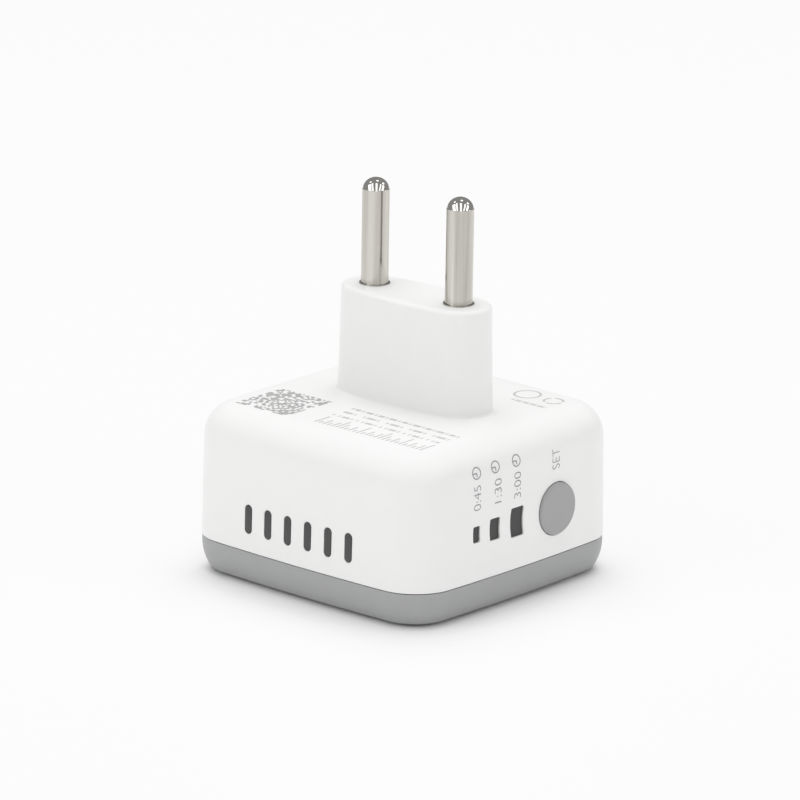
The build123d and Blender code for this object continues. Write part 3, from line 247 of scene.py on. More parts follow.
def moulded_plastic(name, light, dark, roughness, bump, skin_values):
    """Moulded plastic between two close shades, with the moulded skin as its gloss and relief."""
    material, surface = new_material(name)
    nodes, link = material.node_tree.nodes, material.node_tree.links.new
    skin = nodes.new("ShaderNodeGroup")
    skin.node_tree = moulded_skin
    for label, value in skin_values.items():
        skin.inputs[label].default_value = value
    shade = nodes.new("ShaderNodeMix")
    shade.data_type = "RGBA"
    shade.inputs["A"].default_value = (*dark, 1)
    shade.inputs["B"].default_value = (*light, 1)
    gloss = nodes.new("ShaderNodeMapRange")
    gloss.inputs["To Min"].default_value = roughness[0]
    gloss.inputs["To Max"].default_value = roughness[1]
    relief = nodes.new("ShaderNodeBump")
    relief.inputs["Strength"].default_value = bump
    relief.inputs["Distance"].default_value = RELIEF_DEPTH
    link(skin.outputs["Mottle"], shade.inputs["Factor"])
    link(shade.outputs["Result"], surface.inputs["Base Color"])
    link(skin.outputs["Mottle"], gloss.inputs["Value"])
    link(gloss.outputs["Result"], surface.inputs["Roughness"])
    link(skin.outputs["Height"], relief.inputs["Height"])
    link(relief.outputs["Normal"], surface.inputs["Normal"])
    return material


def dress(material, *nodes):
    """Gives a material to carried-over pieces."""
    for node in nodes:
        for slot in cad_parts[node].material_slots:
            slot.material = material


housing_white = moulded_plastic(
    "housing_white", HOUSING_WHITE, HOUSING_SHADE, HOUSING_ROUGHNESS, 0.06,
    {"Ripple Scale": 260.0, "Grain Scale": 6000.0, "Grain Share": 0.25},
)
shader = housing_white.node_tree.nodes["Principled BSDF"]
shader.inputs["Subsurface Weight"].default_value = HOUSING_GLOW
shader.inputs["Subsurface Radius"].default_value = HOUSING_GLOW_DEPTH
shader.inputs["Subsurface Scale"].default_value = 1.0
dress(housing_white, "plug_housing")

# ---- Grip bars ----
# Six soft dark bars on the wall under the top, for the finger that pulls the timer out.
# Each is moulded in soft rubber and pressed into its groove, and stands a little proud of it.
GRIP_COUNT = 6
GRIP_PITCH = 4.54 * MM
GRIP_SIZE = (1.62 * MM, 5.12 * MM)      # width and height
GRIP_Z = 12.15 * MM
GRIP_FLOOR_Y = -26.54 * MM
GRIP_PROUD = 0.10 * MM
GRIP_CROWN = 0.22 * MM
WALL_Y = -26.89 * MM                    # the wall in its middle, at the bars' height
SIDE_RADIUS = 420 * MM                  # the wall's bow
GRIP_DARK = (0.062, 0.062, 0.062)
GRIP_DARKER = (0.048, 0.048, 0.048)
NEAR = 0.01 * MM                        # closer than this is the same place


def edit(piece):
    """Opens a piece for editing with nothing on it selected."""
    clear_selection()
    piece.select_set(True)
    bpy.context.view_layer.objects.active = piece
    bpy.ops.object.mode_set(mode="EDIT")
    bpy.ops.mesh.select_all(action="DESELECT")
    bpy.ops.object.mode_set(mode="OBJECT")


def pick(parts, wanted):
    """Selects the edges, faces or points that are wanted, in edit mode."""
    for part in parts:
        part.select = wanted(part)
    bpy.ops.object.mode_set(mode="EDIT")


def add_to_object(piece, name, material, body):
    """Applies a piece's place, names and dresses it, and lets it ride on its body."""
    clear_selection()
    piece.select_set(True)
    bpy.context.view_layer.objects.active = piece
    bpy.ops.object.transform_apply(location=True, rotation=True, scale=True)
    piece.name = name
    piece.data.name = name
    piece.data.materials.clear()
    piece.data.materials.append(material)
    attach(piece, body)


grip_rubber = moulded_plastic(
    "grip_rubber", GRIP_DARK, GRIP_DARKER, (0.48, 0.60), 0.5,
    {"Ripple Scale": 420.0, "Grain Scale": 6500.0, "Grain Share": 0.85},
)
for index in range(GRIP_COUNT):
    grip_x = (index - (GRIP_COUNT - 1) / 2) * GRIP_PITCH
    face_y = WALL_Y + grip_x * grip_x / (2 * SIDE_RADIUS) - GRIP_PROUD
    clear_selection()
    bpy.ops.mesh.primitive_cube_add(size=1, location=(grip_x, (face_y + GRIP_FLOOR_Y) / 2, GRIP_Z))
    bar = bpy.context.object
    bar.scale = (GRIP_SIZE[0], GRIP_FLOOR_Y - face_y, GRIP_SIZE[1])
    bpy.ops.object.transform_apply(location=True, rotation=True, scale=True)
    edit(bar)
    bpy.ops.object.mode_set(mode="EDIT")
    bpy.ops.mesh.select_mode(type="EDGE")
    bpy.ops.object.mode_set(mode="OBJECT")
    points = bar.data.vertices
    pick(bar.data.edges, lambda edge: abs(
        points[edge.vertices[0]].co.y - points[edge.vertices[1]].co.y) > NEAR)
    bpy.ops.mesh.bevel(offset=GRIP_SIZE[0] * 0.499, segments=10)    # just short of a full half round
    bpy.ops.object.mode_set(mode="OBJECT")
    edit(bar)
    points = bar.data.vertices
    pick(bar.data.edges, lambda edge: max(points[i].co.y for i in edge.vertices) < face_y + NEAR)
    bpy.ops.mesh.bevel(offset=GRIP_CROWN, segments=4)
    bpy.ops.mesh.select_mode(type="VERT")
    bpy.ops.object.mode_set(mode="OBJECT")
    bpy.ops.object.shade_smooth_by_angle(angle=math.radians(40))
    add_to_object(bar, f"grip_bar_{index + 1}", grip_rubber, "case")

# ---- Printed marks on the button side ----
# Grey ink, pad-printed on the wall: SET over the button, and a clock and a time over each window.
# The ink lies a hundredth of a millimetre thick and follows the wall over its rounded top edge.
INK_THICKNESS = 0.012 * MM
INK_LIFT = 0.004 * MM
INK_FROM = 6 * MM                       # each mark starts this far out, and is laid on the wall
CLOCK_RADIUS = 1.07 * MM
CLOCK_STROKE = 0.22 * MM
CLOCK_HANDS = ((0.0, 0.5, 0.22, 1.0), (-0.30, 0.0, 0.6, 0.22))    # middle and size, in radii
PRINTED_WORDS = {                       # words: (name, middle y, lowest z, highest z, letter height)
    "0:45": ("time_short", -11.98, 18.75, 23.10, 1.72),
    "1:30": ("time_medium", -6.83, 19.00, 23.27, 1.72),
    "3:00": ("time_long", -1.88, 18.77, 23.33, 1.72),
    "SET": ("set_word", 8.23, 21.60, 25.15, 1.92),
}
PRINTED_CLOCKS = {                      # name: (middle y, middle z)
    "clock_short": (-12.08, 25.24),
    "clock_medium": (-7.39, 25.35),
    "clock_long": (-2.09, 25.32),
}
LETTER_THINNING = -0.012                # takes a little off the strokes, in letter heights
RING_POINTS = 48
SIDE_CUT = 0.3 * MM                     # the marks are cut this fine, to bend with the wall
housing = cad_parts["plug_housing"]
side_way = Matrix(((0, 0, 1), (0, -1, 0), (1, 0, 0))).to_4x4()    # reads upwards on the +X wall
side_out = cad_box[1].x + INK_FROM

ink_grey = moulded_plastic(
    "ink_grey", (0.33, 0.33, 0.33), (0.27, 0.27, 0.27), (0.40, 0.55), 0.2,
    {"Ripple Scale": 900.0, "Grain Scale": 9000.0, "Grain Share": 0.6},
)


def lay_ink(piece, axis, cuts, material, name):
    """Cuts a flat mark fine, lays it on the housing along an axis, and gives the ink its thickness."""
    edit(piece)
    bpy.ops.object.mode_set(mode="EDIT")
    for place, way in cuts:
        bpy.ops.mesh.select_all(action="SELECT")
        bpy.ops.mesh.bisect(plane_co=place, plane_no=way)
    bpy.ops.mesh.select_all(action="SELECT")
    bpy.ops.mesh.quads_convert_to_tris(quad_method="BEAUTY", ngon_method="BEAUTY")
    bpy.ops.object.mode_set(mode="OBJECT")
    wrap = piece.modifiers.new("lay", "SHRINKWRAP")
    wrap.target = housing
    wrap.wrap_method = "PROJECT"
    wrap.use_project_x = axis == "X"
    wrap.use_project_y = axis == "Y"
    wrap.use_project_z = axis == "Z"
    wrap.use_negative_direction = True
    wrap.use_positive_direction = False
    wrap.offset = INK_LIFT
    body = piece.modifiers.new("ink", "SOLIDIFY")
    body.thickness = INK_THICKNESS
    body.offset = 1
    bpy.ops.object.modifier_apply(modifier=wrap.name)
    bpy.ops.object.modifier_apply(modifier=body.name)
    add_to_object(piece, name, material, "case")


def level_cuts(low, high, step):
    """Planes that cut a mark on a side wall into level strips."""
    count = int((high - low) / step)
    return [((0, 0, low + (i + 1) * step), (0, 0, 1)) for i in range(count)]


for words, (name, middle_y, low_z, high_z, height) in PRINTED_WORDS.items():
    clear_selection()
    bpy.ops.object.text_add()
    mark = bpy.context.object
    mark.data.body = words
    mark.data.offset = LETTER_THINNING
    mark.data.resolution_u = 8
    bpy.ops.object.convert(target="MESH")
    mark = bpy.context.object
    xs = [point.co.x for point in mark.data.vertices]
    ys = [point.co.y for point in mark.data.vertices]
    fit = Matrix.Diagonal((
        (high_z - low_z) * MM / (max(xs) - min(xs)), height * MM / (max(ys) - min(ys)), 1, 1,
    ))
    centre = Matrix.Translation((-(max(xs) + min(xs)) / 2, -(max(ys) + min(ys)) / 2, 0))
    spot = Matrix.Translation((side_out, middle_y * MM, (low_z + high_z) / 2 * MM))
    mark.data.transform(spot @ side_way @ fit @ centre)
    lay_ink(mark, "X", level_cuts(low_z * MM, high_z * MM, SIDE_CUT), ink_grey, f"print_{name}")


def flat_ring(radius, stroke):
    """A flat ring round the origin, drawn from a filled circle with its middle taken out."""
    clear_selection()
    bpy.ops.mesh.primitive_circle_add(vertices=RING_POINTS, radius=radius, fill_type="NGON")
    ring = bpy.context.object
    bpy.ops.object.mode_set(mode="EDIT")
    bpy.ops.mesh.select_all(action="SELECT")
    bpy.ops.mesh.inset(thickness=stroke)
    bpy.ops.mesh.delete(type="FACE")
    bpy.ops.object.mode_set(mode="OBJECT")
    return ring


for name, (middle_y, middle_z) in PRINTED_CLOCKS.items():
    clock = flat_ring(CLOCK_RADIUS, CLOCK_STROKE)
    for across, along, wide, tall in CLOCK_HANDS:
        clear_selection()
        bpy.ops.mesh.primitive_plane_add(
            size=1, location=(across * CLOCK_RADIUS, along * CLOCK_RADIUS, 0))
        hand = bpy.context.object
        hand.scale = (wide * CLOCK_RADIUS, tall * CLOCK_RADIUS, 1)
        bpy.ops.object.transform_apply(location=True, rotation=True, scale=True)
        clock.select_set(True)
        bpy.context.view_layer.objects.active = clock
        bpy.ops.object.join()
    spot = Matrix.Translation((side_out, middle_y * MM, middle_z * MM))
    clock.data.transform(spot @ side_way)
    low_z = middle_z * MM - CLOCK_RADIUS
    lay_ink(clock, "X", level_cuts(low_z, low_z + 2 * CLOCK_RADIUS, SIDE_CUT), ink_grey, f"print_{name}")

# ---- Printed marks on the top ----
# Grey ink again: a checked square, a plain scale of ticks with three broken rules under it,
# and two small rings with a short rule, where such a timer carries its rating.
SQUARE_SIDE = 11.7 * MM
SQUARE_MODULES = 25
SQUARE_PLACE = (-14.2 * MM, -15.0 * MM)
SCALE_PLACE = (9.0 * MM, -17.85 * MM)
SCALE_SIZE = (24.0 * MM, 3.9 * MM)
SCALE_COLUMNS = 51
SCALE_ROWS = 3
RULES = {                               # name: (middle x, middle y, length, what breaks it up)
    "rule_1": (8.4, -14.5, 24.2, 11),
    "rule_2": (8.6, -12.1, 24.0, 7),
    "rule_3": (8.5, -9.75, 24.4, 5),
    "rule_4": (16.2, 13.6, 7.6, 3),
}
RULE_WIDTH = 0.85 * MM
RULE_COLUMNS = 60
TOP_RINGS = {                           # name: (middle x, middle y, radius, stroke)
    "ring_whole": (12.5, 17.65, 2.5, 0.46),
    "ring_broken": (18.3, 17.65, 1.9, 0.5),
}
RING_BREAK_EVERY = 120                  # degrees
RING_BREAK = 22
top_out = cad_box[1].z + INK_FROM
ink_pale = moulded_plastic(
    "ink_pale", (0.52, 0.52, 0.52), (0.44, 0.44, 0.44), (0.40, 0.55), 0.2,
    {"Ripple Scale": 900.0, "Grain Scale": 9000.0, "Grain Share": 0.6},
)
ink_worn = moulded_plastic(
    "ink_worn", (0.40, 0.40, 0.40), (0.32, 0.32, 0.32), (0.40, 0.55), 0.2,
    {"Ripple Scale": 900.0, "Grain Scale": 9000.0, "Grain Share": 0.6},
)


def square_stays(column, row):
    """Which modules of the checked square are inked: a plain mixing rule that codes nothing."""
    return (column * 7 + row * 13 + column * row * 5 + (column ^ row) * 3) % 9 < 5


def tick_stays(column, row):
    """Which parts of the scale are inked: a tick in every other column, every fifth one tall."""
    return column % 2 == 0 and (row == 0 or column % 10 == 0 or (row == 1 and column % 4 == 0))


def printed_grid(place, size, columns, rows, stays):
    """A flat grid over the top face with only its inked cells left."""
    clear_selection()
    bpy.ops.mesh.primitive_grid_add(
        x_subdivisions=columns, y_subdivisions=rows, size=1, location=(*place, top_out))
    grid = bpy.context.object
    grid.scale = (size[0], size[1], 1)
    bpy.ops.object.transform_apply(location=True, rotation=True, scale=True)
    edit(grid)
    bpy.ops.object.mode_set(mode="EDIT")
    bpy.ops.mesh.select_mode(type="FACE")
    bpy.ops.object.mode_set(mode="OBJECT")
    low = (place[0] - size[0] / 2, place[1] - size[1] / 2)

    def blank(face):
        column = int((face.center.x - low[0]) / size[0] * columns)
        row = int((face.center.y - low[1]) / size[1] * rows)
        return not stays(column, row)

    pick(grid.data.polygons, blank)
    bpy.ops.mesh.delete(type="FACE")
    bpy.ops.mesh.select_mode(type="VERT")
    bpy.ops.object.mode_set(mode="OBJECT")
    return grid


square = printed_grid(
    SQUARE_PLACE, (SQUARE_SIDE, SQUARE_SIDE), SQUARE_MODULES, SQUARE_MODULES, square_stays)
lay_ink(square, "Z", [], ink_worn, "print_square")
ticks = printed_grid(SCALE_PLACE, SCALE_SIZE, SCALE_COLUMNS, SCALE_ROWS, tick_stays)
lay_ink(ticks, "Z", [], ink_pale, "print_scale")
for name, (middle_x, middle_y, length, breaker) in RULES.items():
    rule = printed_grid(
        (middle_x * MM, middle_y * MM), (length * MM, RULE_WIDTH), RULE_COLUMNS, 1,
        lambda column, row: (column * column + breaker * column) % 13 > 3,
    )
    lay_ink(rule, "Z", [], ink_pale, f"print_{name}")


def in_a_break(face):
    """Whether a face of a flat ring lies in one of its breaks."""
    return math.degrees(math.atan2(face.center.y, face.center.x)) % RING_BREAK_EVERY < RING_BREAK


for name, (middle_x, middle_y, radius, stroke) in TOP_RINGS.items():
    ring = flat_ring(radius * MM, stroke * MM)
    if name == "ring_broken":
        edit(ring)
        pick(ring.data.polygons, in_a_break)
        bpy.ops.mesh.delete(type="FACE")
        bpy.ops.object.mode_set(mode="OBJECT")
    ring.data.transform(Matrix.Translation((middle_x * MM, middle_y * MM, top_out)))
    lay_ink(ring, "Z", [], ink_pale, f"print_{name}")

# ---- Socket cover ----
# The grey ABS tray that closes the case and holds the recessed socket.
# Its tool is spark-eroded, which leaves an even satin grain.
COVER_GREY = (0.372, 0.375, 0.379)
COVER_SHADE = (0.352, 0.355, 0.359)
cover_grey = moulded_plastic(
    "cover_grey", COVER_GREY, COVER_SHADE, (0.42, 0.52), 0.35,
    {"Ripple Scale": 300.0, "Grain Scale": 4200.0, "Grain Share": 0.8},
)
dress(cover_grey, "socket_cover")

# ---- SET button ----
# A round grey key with a flat face, moulded in the cover's ABS.
# It stands half a millimetre proud of the wall and is held from behind by its flange.
button_grey = moulded_plastic(
    "button_grey", (0.35, 0.352, 0.352), (0.335, 0.337, 0.337), (0.38, 0.46), 0.22,
    {"Ripple Scale": 400.0, "Grain Scale": 5200.0, "Grain Share": 0.7},
)
dress(button_grey, "set_button")

# ---- Indicator windows ----
# Three smoked plastic light guides, each pressed in from inside and a little recessed.
# Their faces are matted, so that the lamp behind lights them evenly.
window_smoke = moulded_plastic(
    "window_smoke", (0.026, 0.026, 0.025), (0.019, 0.019, 0.018), (0.30, 0.42), 0.15,
    {"Ripple Scale": 500.0, "Grain Scale": 7000.0, "Grain Share": 0.6},
)
dress(window_smoke, "window_short", "window_medium", "window_long")

# ---- Plug pins ----
# Two turned brass pins, nickel plated, with a polished dome and a small collar at the root.
# Drawing the rod leaves fine streaks along the shank, and the dome is polished bright. The shank's dark
# streaks are partly real drawing marks and partly a painted reflection of something dark in front of the
# pins.
PIN_NICKEL = (0.56, 0.543, 0.502)
# the streaks' dark shade: partly drawing marks, partly a painted dark reflection
PIN_STREAK_AND_REFLECTION = (0.38, 0.365, 0.33)
PIN_POLISH = (0.78, 0.77, 0.73)
PIN_DOME_GLOSS = 0.04                   # the dome's roughness
PIN_DOME_Z = 65.05 * MM                 # the dome starts here
PIN_DOME_BLEND = 0.06 * MM              # the shank's finish runs out over this height

# Drawn metal: long streaks along the way the metal was drawn, rolled or turned.
# The middle of the noise is spread out, so that the streaks run from dull to bright.
drawn_streaks, drawn_in, drawn_out = new_group(
    "drawn_streaks",
    {"Stretch": (1.0, 1.0, 0.03), "Scale": 1400.0},
    {"Streaks": "NodeSocketFloat"},
)
drawn_place = drawn_streaks.nodes.new("ShaderNodeTexCoord")
drawn_stretch = drawn_streaks.nodes.new("ShaderNodeMapping")
drawn_noise = drawn_streaks.nodes.new("ShaderNodeTexNoise")
drawn_noise.inputs["Detail"].default_value = 4
drawn_spread = drawn_streaks.nodes.new("ShaderNodeMapRange")
drawn_spread.inputs["From Min"].default_value = 0.34
drawn_spread.inputs["From Max"].default_value = 0.66
wire = drawn_streaks.links.new
wire(drawn_place.outputs["Object"], drawn_stretch.inputs["Vector"])
wire(drawn_in.outputs["Stretch"], drawn_stretch.inputs["Scale"])
wire(drawn_stretch.outputs["Vector"], drawn_noise.inputs["Vector"])
wire(drawn_in.outputs["Scale"], drawn_noise.inputs["Scale"])
wire(drawn_noise.outputs["Fac"], drawn_spread.inputs["Value"])
wire(drawn_spread.outputs["Result"], drawn_out.inputs["Streaks"])


def drawn_metal(name, light, dark, roughness, streak_values):
    """Bare metal between two close shades, duller along its streaks."""
    material, surface = new_material(name)
    nodes, link = material.node_tree.nodes, material.node_tree.links.new
    streaks = nodes.new("ShaderNodeGroup")
    streaks.node_tree = drawn_streaks
    for label, value in streak_values.items():
        streaks.inputs[label].default_value = value
    shade = nodes.new("ShaderNodeMix")
    shade.data_type = "RGBA"
    shade.inputs["A"].default_value = (*dark, 1)
    shade.inputs["B"].default_value = (*light, 1)
    gloss = nodes.new("ShaderNodeMapRange")
    gloss.inputs["To Min"].default_value = roughness[0]
    gloss.inputs["To Max"].default_value = roughness[1]
    surface.inputs["Metallic"].default_value = 1
    link(streaks.outputs["Streaks"], shade.inputs["Factor"])
    link(shade.outputs["Result"], surface.inputs["Base Color"])
    link(streaks.outputs["Streaks"], gloss.inputs["Value"])
    link(gloss.outputs["Result"], surface.inputs["Roughness"])
    return material


# The shank's streaks run as upright dark bands: partly drawing marks, partly a painted reflection of
# something dark in front.
pin_nickel = drawn_metal(
    "pin_nickel", PIN_NICKEL, PIN_STREAK_AND_REFLECTION, (0.08, 0.20),
    {"Stretch": (1.0, 1.0, 0.02), "Scale": 900.0},
)
nodes, link = pin_nickel.node_tree.nodes, pin_nickel.node_tree.links.new
shader = nodes["Principled BSDF"]
dome_place = nodes.new("ShaderNodeTexCoord")
dome_split = nodes.new("ShaderNodeSeparateXYZ")
dome_mask = nodes.new("ShaderNodeMapRange")
dome_mask.inputs["From Min"].default_value = PIN_DOME_Z - PIN_DOME_BLEND
dome_mask.inputs["From Max"].default_value = PIN_DOME_Z
dome_shade = nodes.new("ShaderNodeMix")
dome_shade.data_type = "RGBA"
dome_shade.inputs["B"].default_value = (*PIN_POLISH, 1)
dome_gloss = nodes.new("ShaderNodeMix")
dome_gloss.inputs["B"].default_value = PIN_DOME_GLOSS
shank_colour = shader.inputs["Base Color"].links[0].from_socket
shank_gloss = shader.inputs["Roughness"].links[0].from_socket
link(dome_place.outputs["Object"], dome_split.inputs["Vector"])
link(dome_split.outputs["Z"], dome_mask.inputs["Value"])
link(dome_mask.outputs["Result"], dome_shade.inputs["Factor"])
link(dome_mask.outputs["Result"], dome_gloss.inputs["Factor"])
link(shank_colour, dome_shade.inputs["A"])
link(shank_gloss, dome_gloss.inputs["A"])
link(dome_shade.outputs["Result"], shader.inputs["Base Color"])
link(dome_gloss.outputs["Result"], shader.inputs["Roughness"])
dress(pin_nickel, "plug_pin_live", "plug_pin_neutral")

# ---- Screws ----
# Self-tapping steel screws, zinc plated: four for the case, one and two for the carriers,
# and two for the board. Turning and plating leave a slightly cloudy, ringed surface.
screw_zinc = drawn_metal(
    "screw_zinc", (0.62, 0.63, 0.64), (0.50, 0.51, 0.52), (0.26, 0.40),
    {"Stretch": (0.25, 0.25, 1.0), "Scale": 2200.0},
)
dress(screw_zinc, "case_screws", "pin_carrier_screw", "contact_carrier_screws", "board_screws")

# ---- Pin carrier and contact carrier ----
# Two blocks of undyed glass-filled nylon that hold the pins and the socket contacts.
# The glass fibre shows as a pale mottle and a rough grain. Screws hold them.
carrier_nylon = moulded_plastic(
    "carrier_nylon", (0.80, 0.79, 0.74), (0.70, 0.69, 0.63), (0.45, 0.58), 0.5,
    {"Ripple Scale": 700.0, "Grain Scale": 5200.0, "Grain Share": 0.8},
)
dress(carrier_nylon, "pin_carrier", "contact_carrier")

# ---- Dark mouldings inside ----
# The light baffle, the relay's base, the board's header, and the tactile switch with its plunger:
# all black plastic with a dull, grained skin.
inner_black = moulded_plastic(
    "inner_black", (0.045, 0.045, 0.046), (0.032, 0.032, 0.033), (0.42, 0.56), 0.35,
    {"Ripple Scale": 600.0, "Grain Scale": 6200.0, "Grain Share": 0.7},
)
dress(inner_black, "light_baffle", "relay_base", "board_header", "switch_body", "switch_plunger")

# ---- Chips ----
# The microcontroller, the bridge rectifier, the regulator and the relay driver.
# Their bodies are moulded in dark epoxy, matt and finely pitted, and soldered down by their feet.
chip_epoxy = moulded_plastic(
    "chip_epoxy", (0.050, 0.050, 0.052), (0.040, 0.040, 0.042), (0.55, 0.68), 0.6,
    {"Ripple Scale": 1500.0, "Grain Scale": 12000.0, "Grain Share": 0.9},
)
dress(chip_epoxy, "microcontroller", "bridge_rectifier", "voltage_regulator", "relay_driver")

# ---- Socket contacts and bus strips ----
# Stamped brass: two sprung sleeves for the plug's pins, and two strips down from the pins.
# Rolling leaves long streaks down the strip.
strip_brass = drawn_metal(
    "strip_brass", (0.76, 0.58, 0.30), (0.62, 0.46, 0.22), (0.20, 0.34),
    {"Stretch": (1.0, 1.0, 0.05), "Scale": 1500.0},
)
dress(strip_brass, "socket_contact_live", "socket_contact_neutral", "live_bus_strip", "neutral_bus_strip")

# ---- Relay contacts ----
# The moving blade is thin rolled bronze and runs along X, and the fixed contact is brass.
# Both are a little redder and brighter than the bus strips.
blade_bronze = drawn_metal(
    "blade_bronze", (0.80, 0.56, 0.32), (0.68, 0.45, 0.24), (0.16, 0.28),
    {"Stretch": (0.05, 1.0, 1.0), "Scale": 2400.0},
)
dress(blade_bronze, "relay_contact_blade", "relay_fixed_contact")

# ---- Relay coil ----
# Enamelled copper wire wound round an upright bobbin, turn on turn.
# Each turn shows as a fine level ridge, with painted shade darker in the gap between turns.
TURN_PITCH = 0.28 * MM
TURN_RELIEF = 0.08 * MM
COIL_COPPER = (0.66, 0.30, 0.14)
# painted shade in the gaps between the turns
COIL_GAP_PAINTED_SHADE = (0.30, 0.11, 0.05)
coil_copper, shader = new_material("coil_copper")
nodes, link = coil_copper.node_tree.nodes, coil_copper.node_tree.links.new
coil_place = nodes.new("ShaderNodeTexCoord")
turns = nodes.new("ShaderNodeTexWave")
turns.bands_direction = "Z"
turns.inputs["Scale"].default_value = math.pi / (10 * TURN_PITCH)
turns.inputs["Distortion"].default_value = 0.4
# mixes the painted gap shade with the copper along the turns
turn_painted_shade = nodes.new("ShaderNodeMix")
turn_painted_shade.data_type = "RGBA"
turn_painted_shade.inputs["A"].default_value = (*COIL_GAP_PAINTED_SHADE, 1)
turn_painted_shade.inputs["B"].default_value = (*COIL_COPPER, 1)
turn_relief = nodes.new("ShaderNodeBump")
turn_relief.inputs["Strength"].default_value = 0.8
turn_relief.inputs["Distance"].default_value = TURN_RELIEF
shader.inputs["Metallic"].default_value = 0.6
shader.inputs["Roughness"].default_value = 0.30
shader.inputs["Coat Weight"].default_value = 0.5
link(coil_place.outputs["Object"], turns.inputs["Vector"])
link(turns.outputs["Fac"], turn_painted_shade.inputs["Factor"])
link(turn_painted_shade.outputs["Result"], shader.inputs["Base Color"])
link(turns.outputs["Fac"], turn_relief.inputs["Height"])
link(turn_relief.outputs["Normal"], shader.inputs["Normal"])
dress(coil_copper, "relay_coil")

# ---- Relay yoke and armature ----
# Soft iron, stamped from plate and given a thin flash of nickel.
# The armature rocks on the yoke's rounded edge.
relay_iron = drawn_metal(
    "relay_iron", (0.56, 0.55, 0.53), (0.42, 0.41, 0.40), (0.28, 0.44),
    {"Stretch": (0.08, 1.0, 1.0), "Scale": 1300.0},
)
dress(relay_iron, "relay_yoke", "relay_armature")

# ---- Relay cover ----
# A thin-walled hood of glossy blue plastic that snaps over the relay's base.
# It is clear enough to look a little deeper in colour where the skin ripples.
relay_blue = moulded_plastic(
    "relay_blue", (0.030, 0.120, 0.300), (0.022, 0.095, 0.250), (0.16, 0.26), 0.15,
    {"Ripple Scale": 350.0, "Grain Scale": 5000.0, "Grain Share": 0.3},
)
dress(relay_blue, "relay_cover")

# ---- Power board and control board ----
# Glass-fibre boards, 1.6 and 1.2 mm thick, under green solder resist.
# The copper under the resist shows as a grid of paler, slightly raised tracks.
RESIST_GREEN = (0.020, 0.150, 0.060)
RESIST_OVER_COPPER = (0.050, 0.260, 0.110)

board_tracks, tracks_in, tracks_out = new_group(
    "board_tracks",
    {"Turn": (0.0, 0.0, 0.0), "Scale": 180.0},
    {"Tracks": "NodeSocketFloat"},
)
tracks_place = board_tracks.nodes.new("ShaderNodeTexCoord")
tracks_turn = board_tracks.nodes.new("ShaderNodeMapping")
tracks_brick = board_tracks.nodes.new("ShaderNodeTexBrick")
tracks_brick.inputs["Mortar Size"].default_value = 0.10
tracks_brick.inputs["Mortar Smooth"].default_value = 0.2
tracks_brick.inputs["Brick Width"].default_value = 1.4
tracks_brick.inputs["Row Height"].default_value = 0.45
wire = board_tracks.links.new
wire(tracks_place.outputs["Object"], tracks_turn.inputs["Vector"])
wire(tracks_in.outputs["Turn"], tracks_turn.inputs["Rotation"])
wire(tracks_turn.outputs["Vector"], tracks_brick.inputs["Vector"])
wire(tracks_in.outputs["Scale"], tracks_brick.inputs["Scale"])
wire(tracks_brick.outputs["Fac"], tracks_out.inputs["Tracks"])


def board_resist(name, turn):
    """Green solder resist over copper tracks, for a board that lies or stands."""
    material, surface = new_material(name)
    nodes, link = material.node_tree.nodes, material.node_tree.links.new
    tracks = nodes.new("ShaderNodeGroup")
    tracks.node_tree = board_tracks
    tracks.inputs["Turn"].default_value = turn
    shade = nodes.new("ShaderNodeMix")
    shade.data_type = "RGBA"
    shade.inputs["A"].default_value = (*RESIST_GREEN, 1)
    shade.inputs["B"].default_value = (*RESIST_OVER_COPPER, 1)
    relief = nodes.new("ShaderNodeBump")
    relief.inputs["Strength"].default_value = 0.5
    relief.inputs["Distance"].default_value = RELIEF_DEPTH
    surface.inputs["Roughness"].default_value = 0.32
    link(tracks.outputs["Tracks"], shade.inputs["Factor"])
    link(shade.outputs["Result"], surface.inputs["Base Color"])
    link(tracks.outputs["Tracks"], relief.inputs["Height"])
    link(relief.outputs["Normal"], surface.inputs["Normal"])
    return material


dress(board_resist("power_board_green", (0.0, 0.0, 0.0)), "power_board")
dress(board_resist("control_board_green", (0.0, math.radians(90), 0.0)), "control_board")

# ---- X capacitor ----
# An interference capacitor in a yellow box, moulded with a slight orange-peel skin.
# It is filled with epoxy and stands on two leads.
capacitor_yellow = moulded_plastic(
    "capacitor_yellow", (0.80, 0.58, 0.07), (0.74, 0.52, 0.05), (0.24, 0.34), 0.3,
    {"Ripple Scale": 900.0, "Grain Scale": 4500.0, "Grain Share": 0.5},
)
dress(capacitor_yellow, "x_capacitor")

# ---- Smoothing capacitor and crystal ----
# Drawn aluminium cans, rolled shut over their seals.
# The drawing leaves fine upright streaks.
can_aluminium = drawn_metal(
    "can_aluminium", (0.78, 0.78, 0.79), (0.66, 0.66, 0.67), (0.22, 0.34),
    {"Stretch": (1.0, 1.0, 0.06), "Scale": 2000.0},
)
dress(can_aluminium, "smoothing_capacitor", "crystal")

# ---- Varistor ----
# A ceramic disc dipped in blue epoxy, which runs a little down its leads.
# The dipped coating is glossy and gently uneven.
varistor_blue = moulded_plastic(
    "varistor_blue", (0.035, 0.130, 0.460), (0.028, 0.105, 0.390), (0.20, 0.34), 0.9,
    {"Ripple Scale": 520.0, "Grain Scale": 3000.0, "Grain Share": 0.15},
)
dress(varistor_blue, "varistor")

# ---- Fuse ----
# A radial fuse in a brown moulded case, standing on two leads.
# Its skin is plain and half matt.
fuse_brown = moulded_plastic(
    "fuse_brown", (0.190, 0.085, 0.045), (0.155, 0.068, 0.034), (0.36, 0.48), 0.3,
    {"Ripple Scale": 640.0, "Grain Scale": 5600.0, "Grain Share": 0.6},
)
dress(fuse_brown, "fuse")

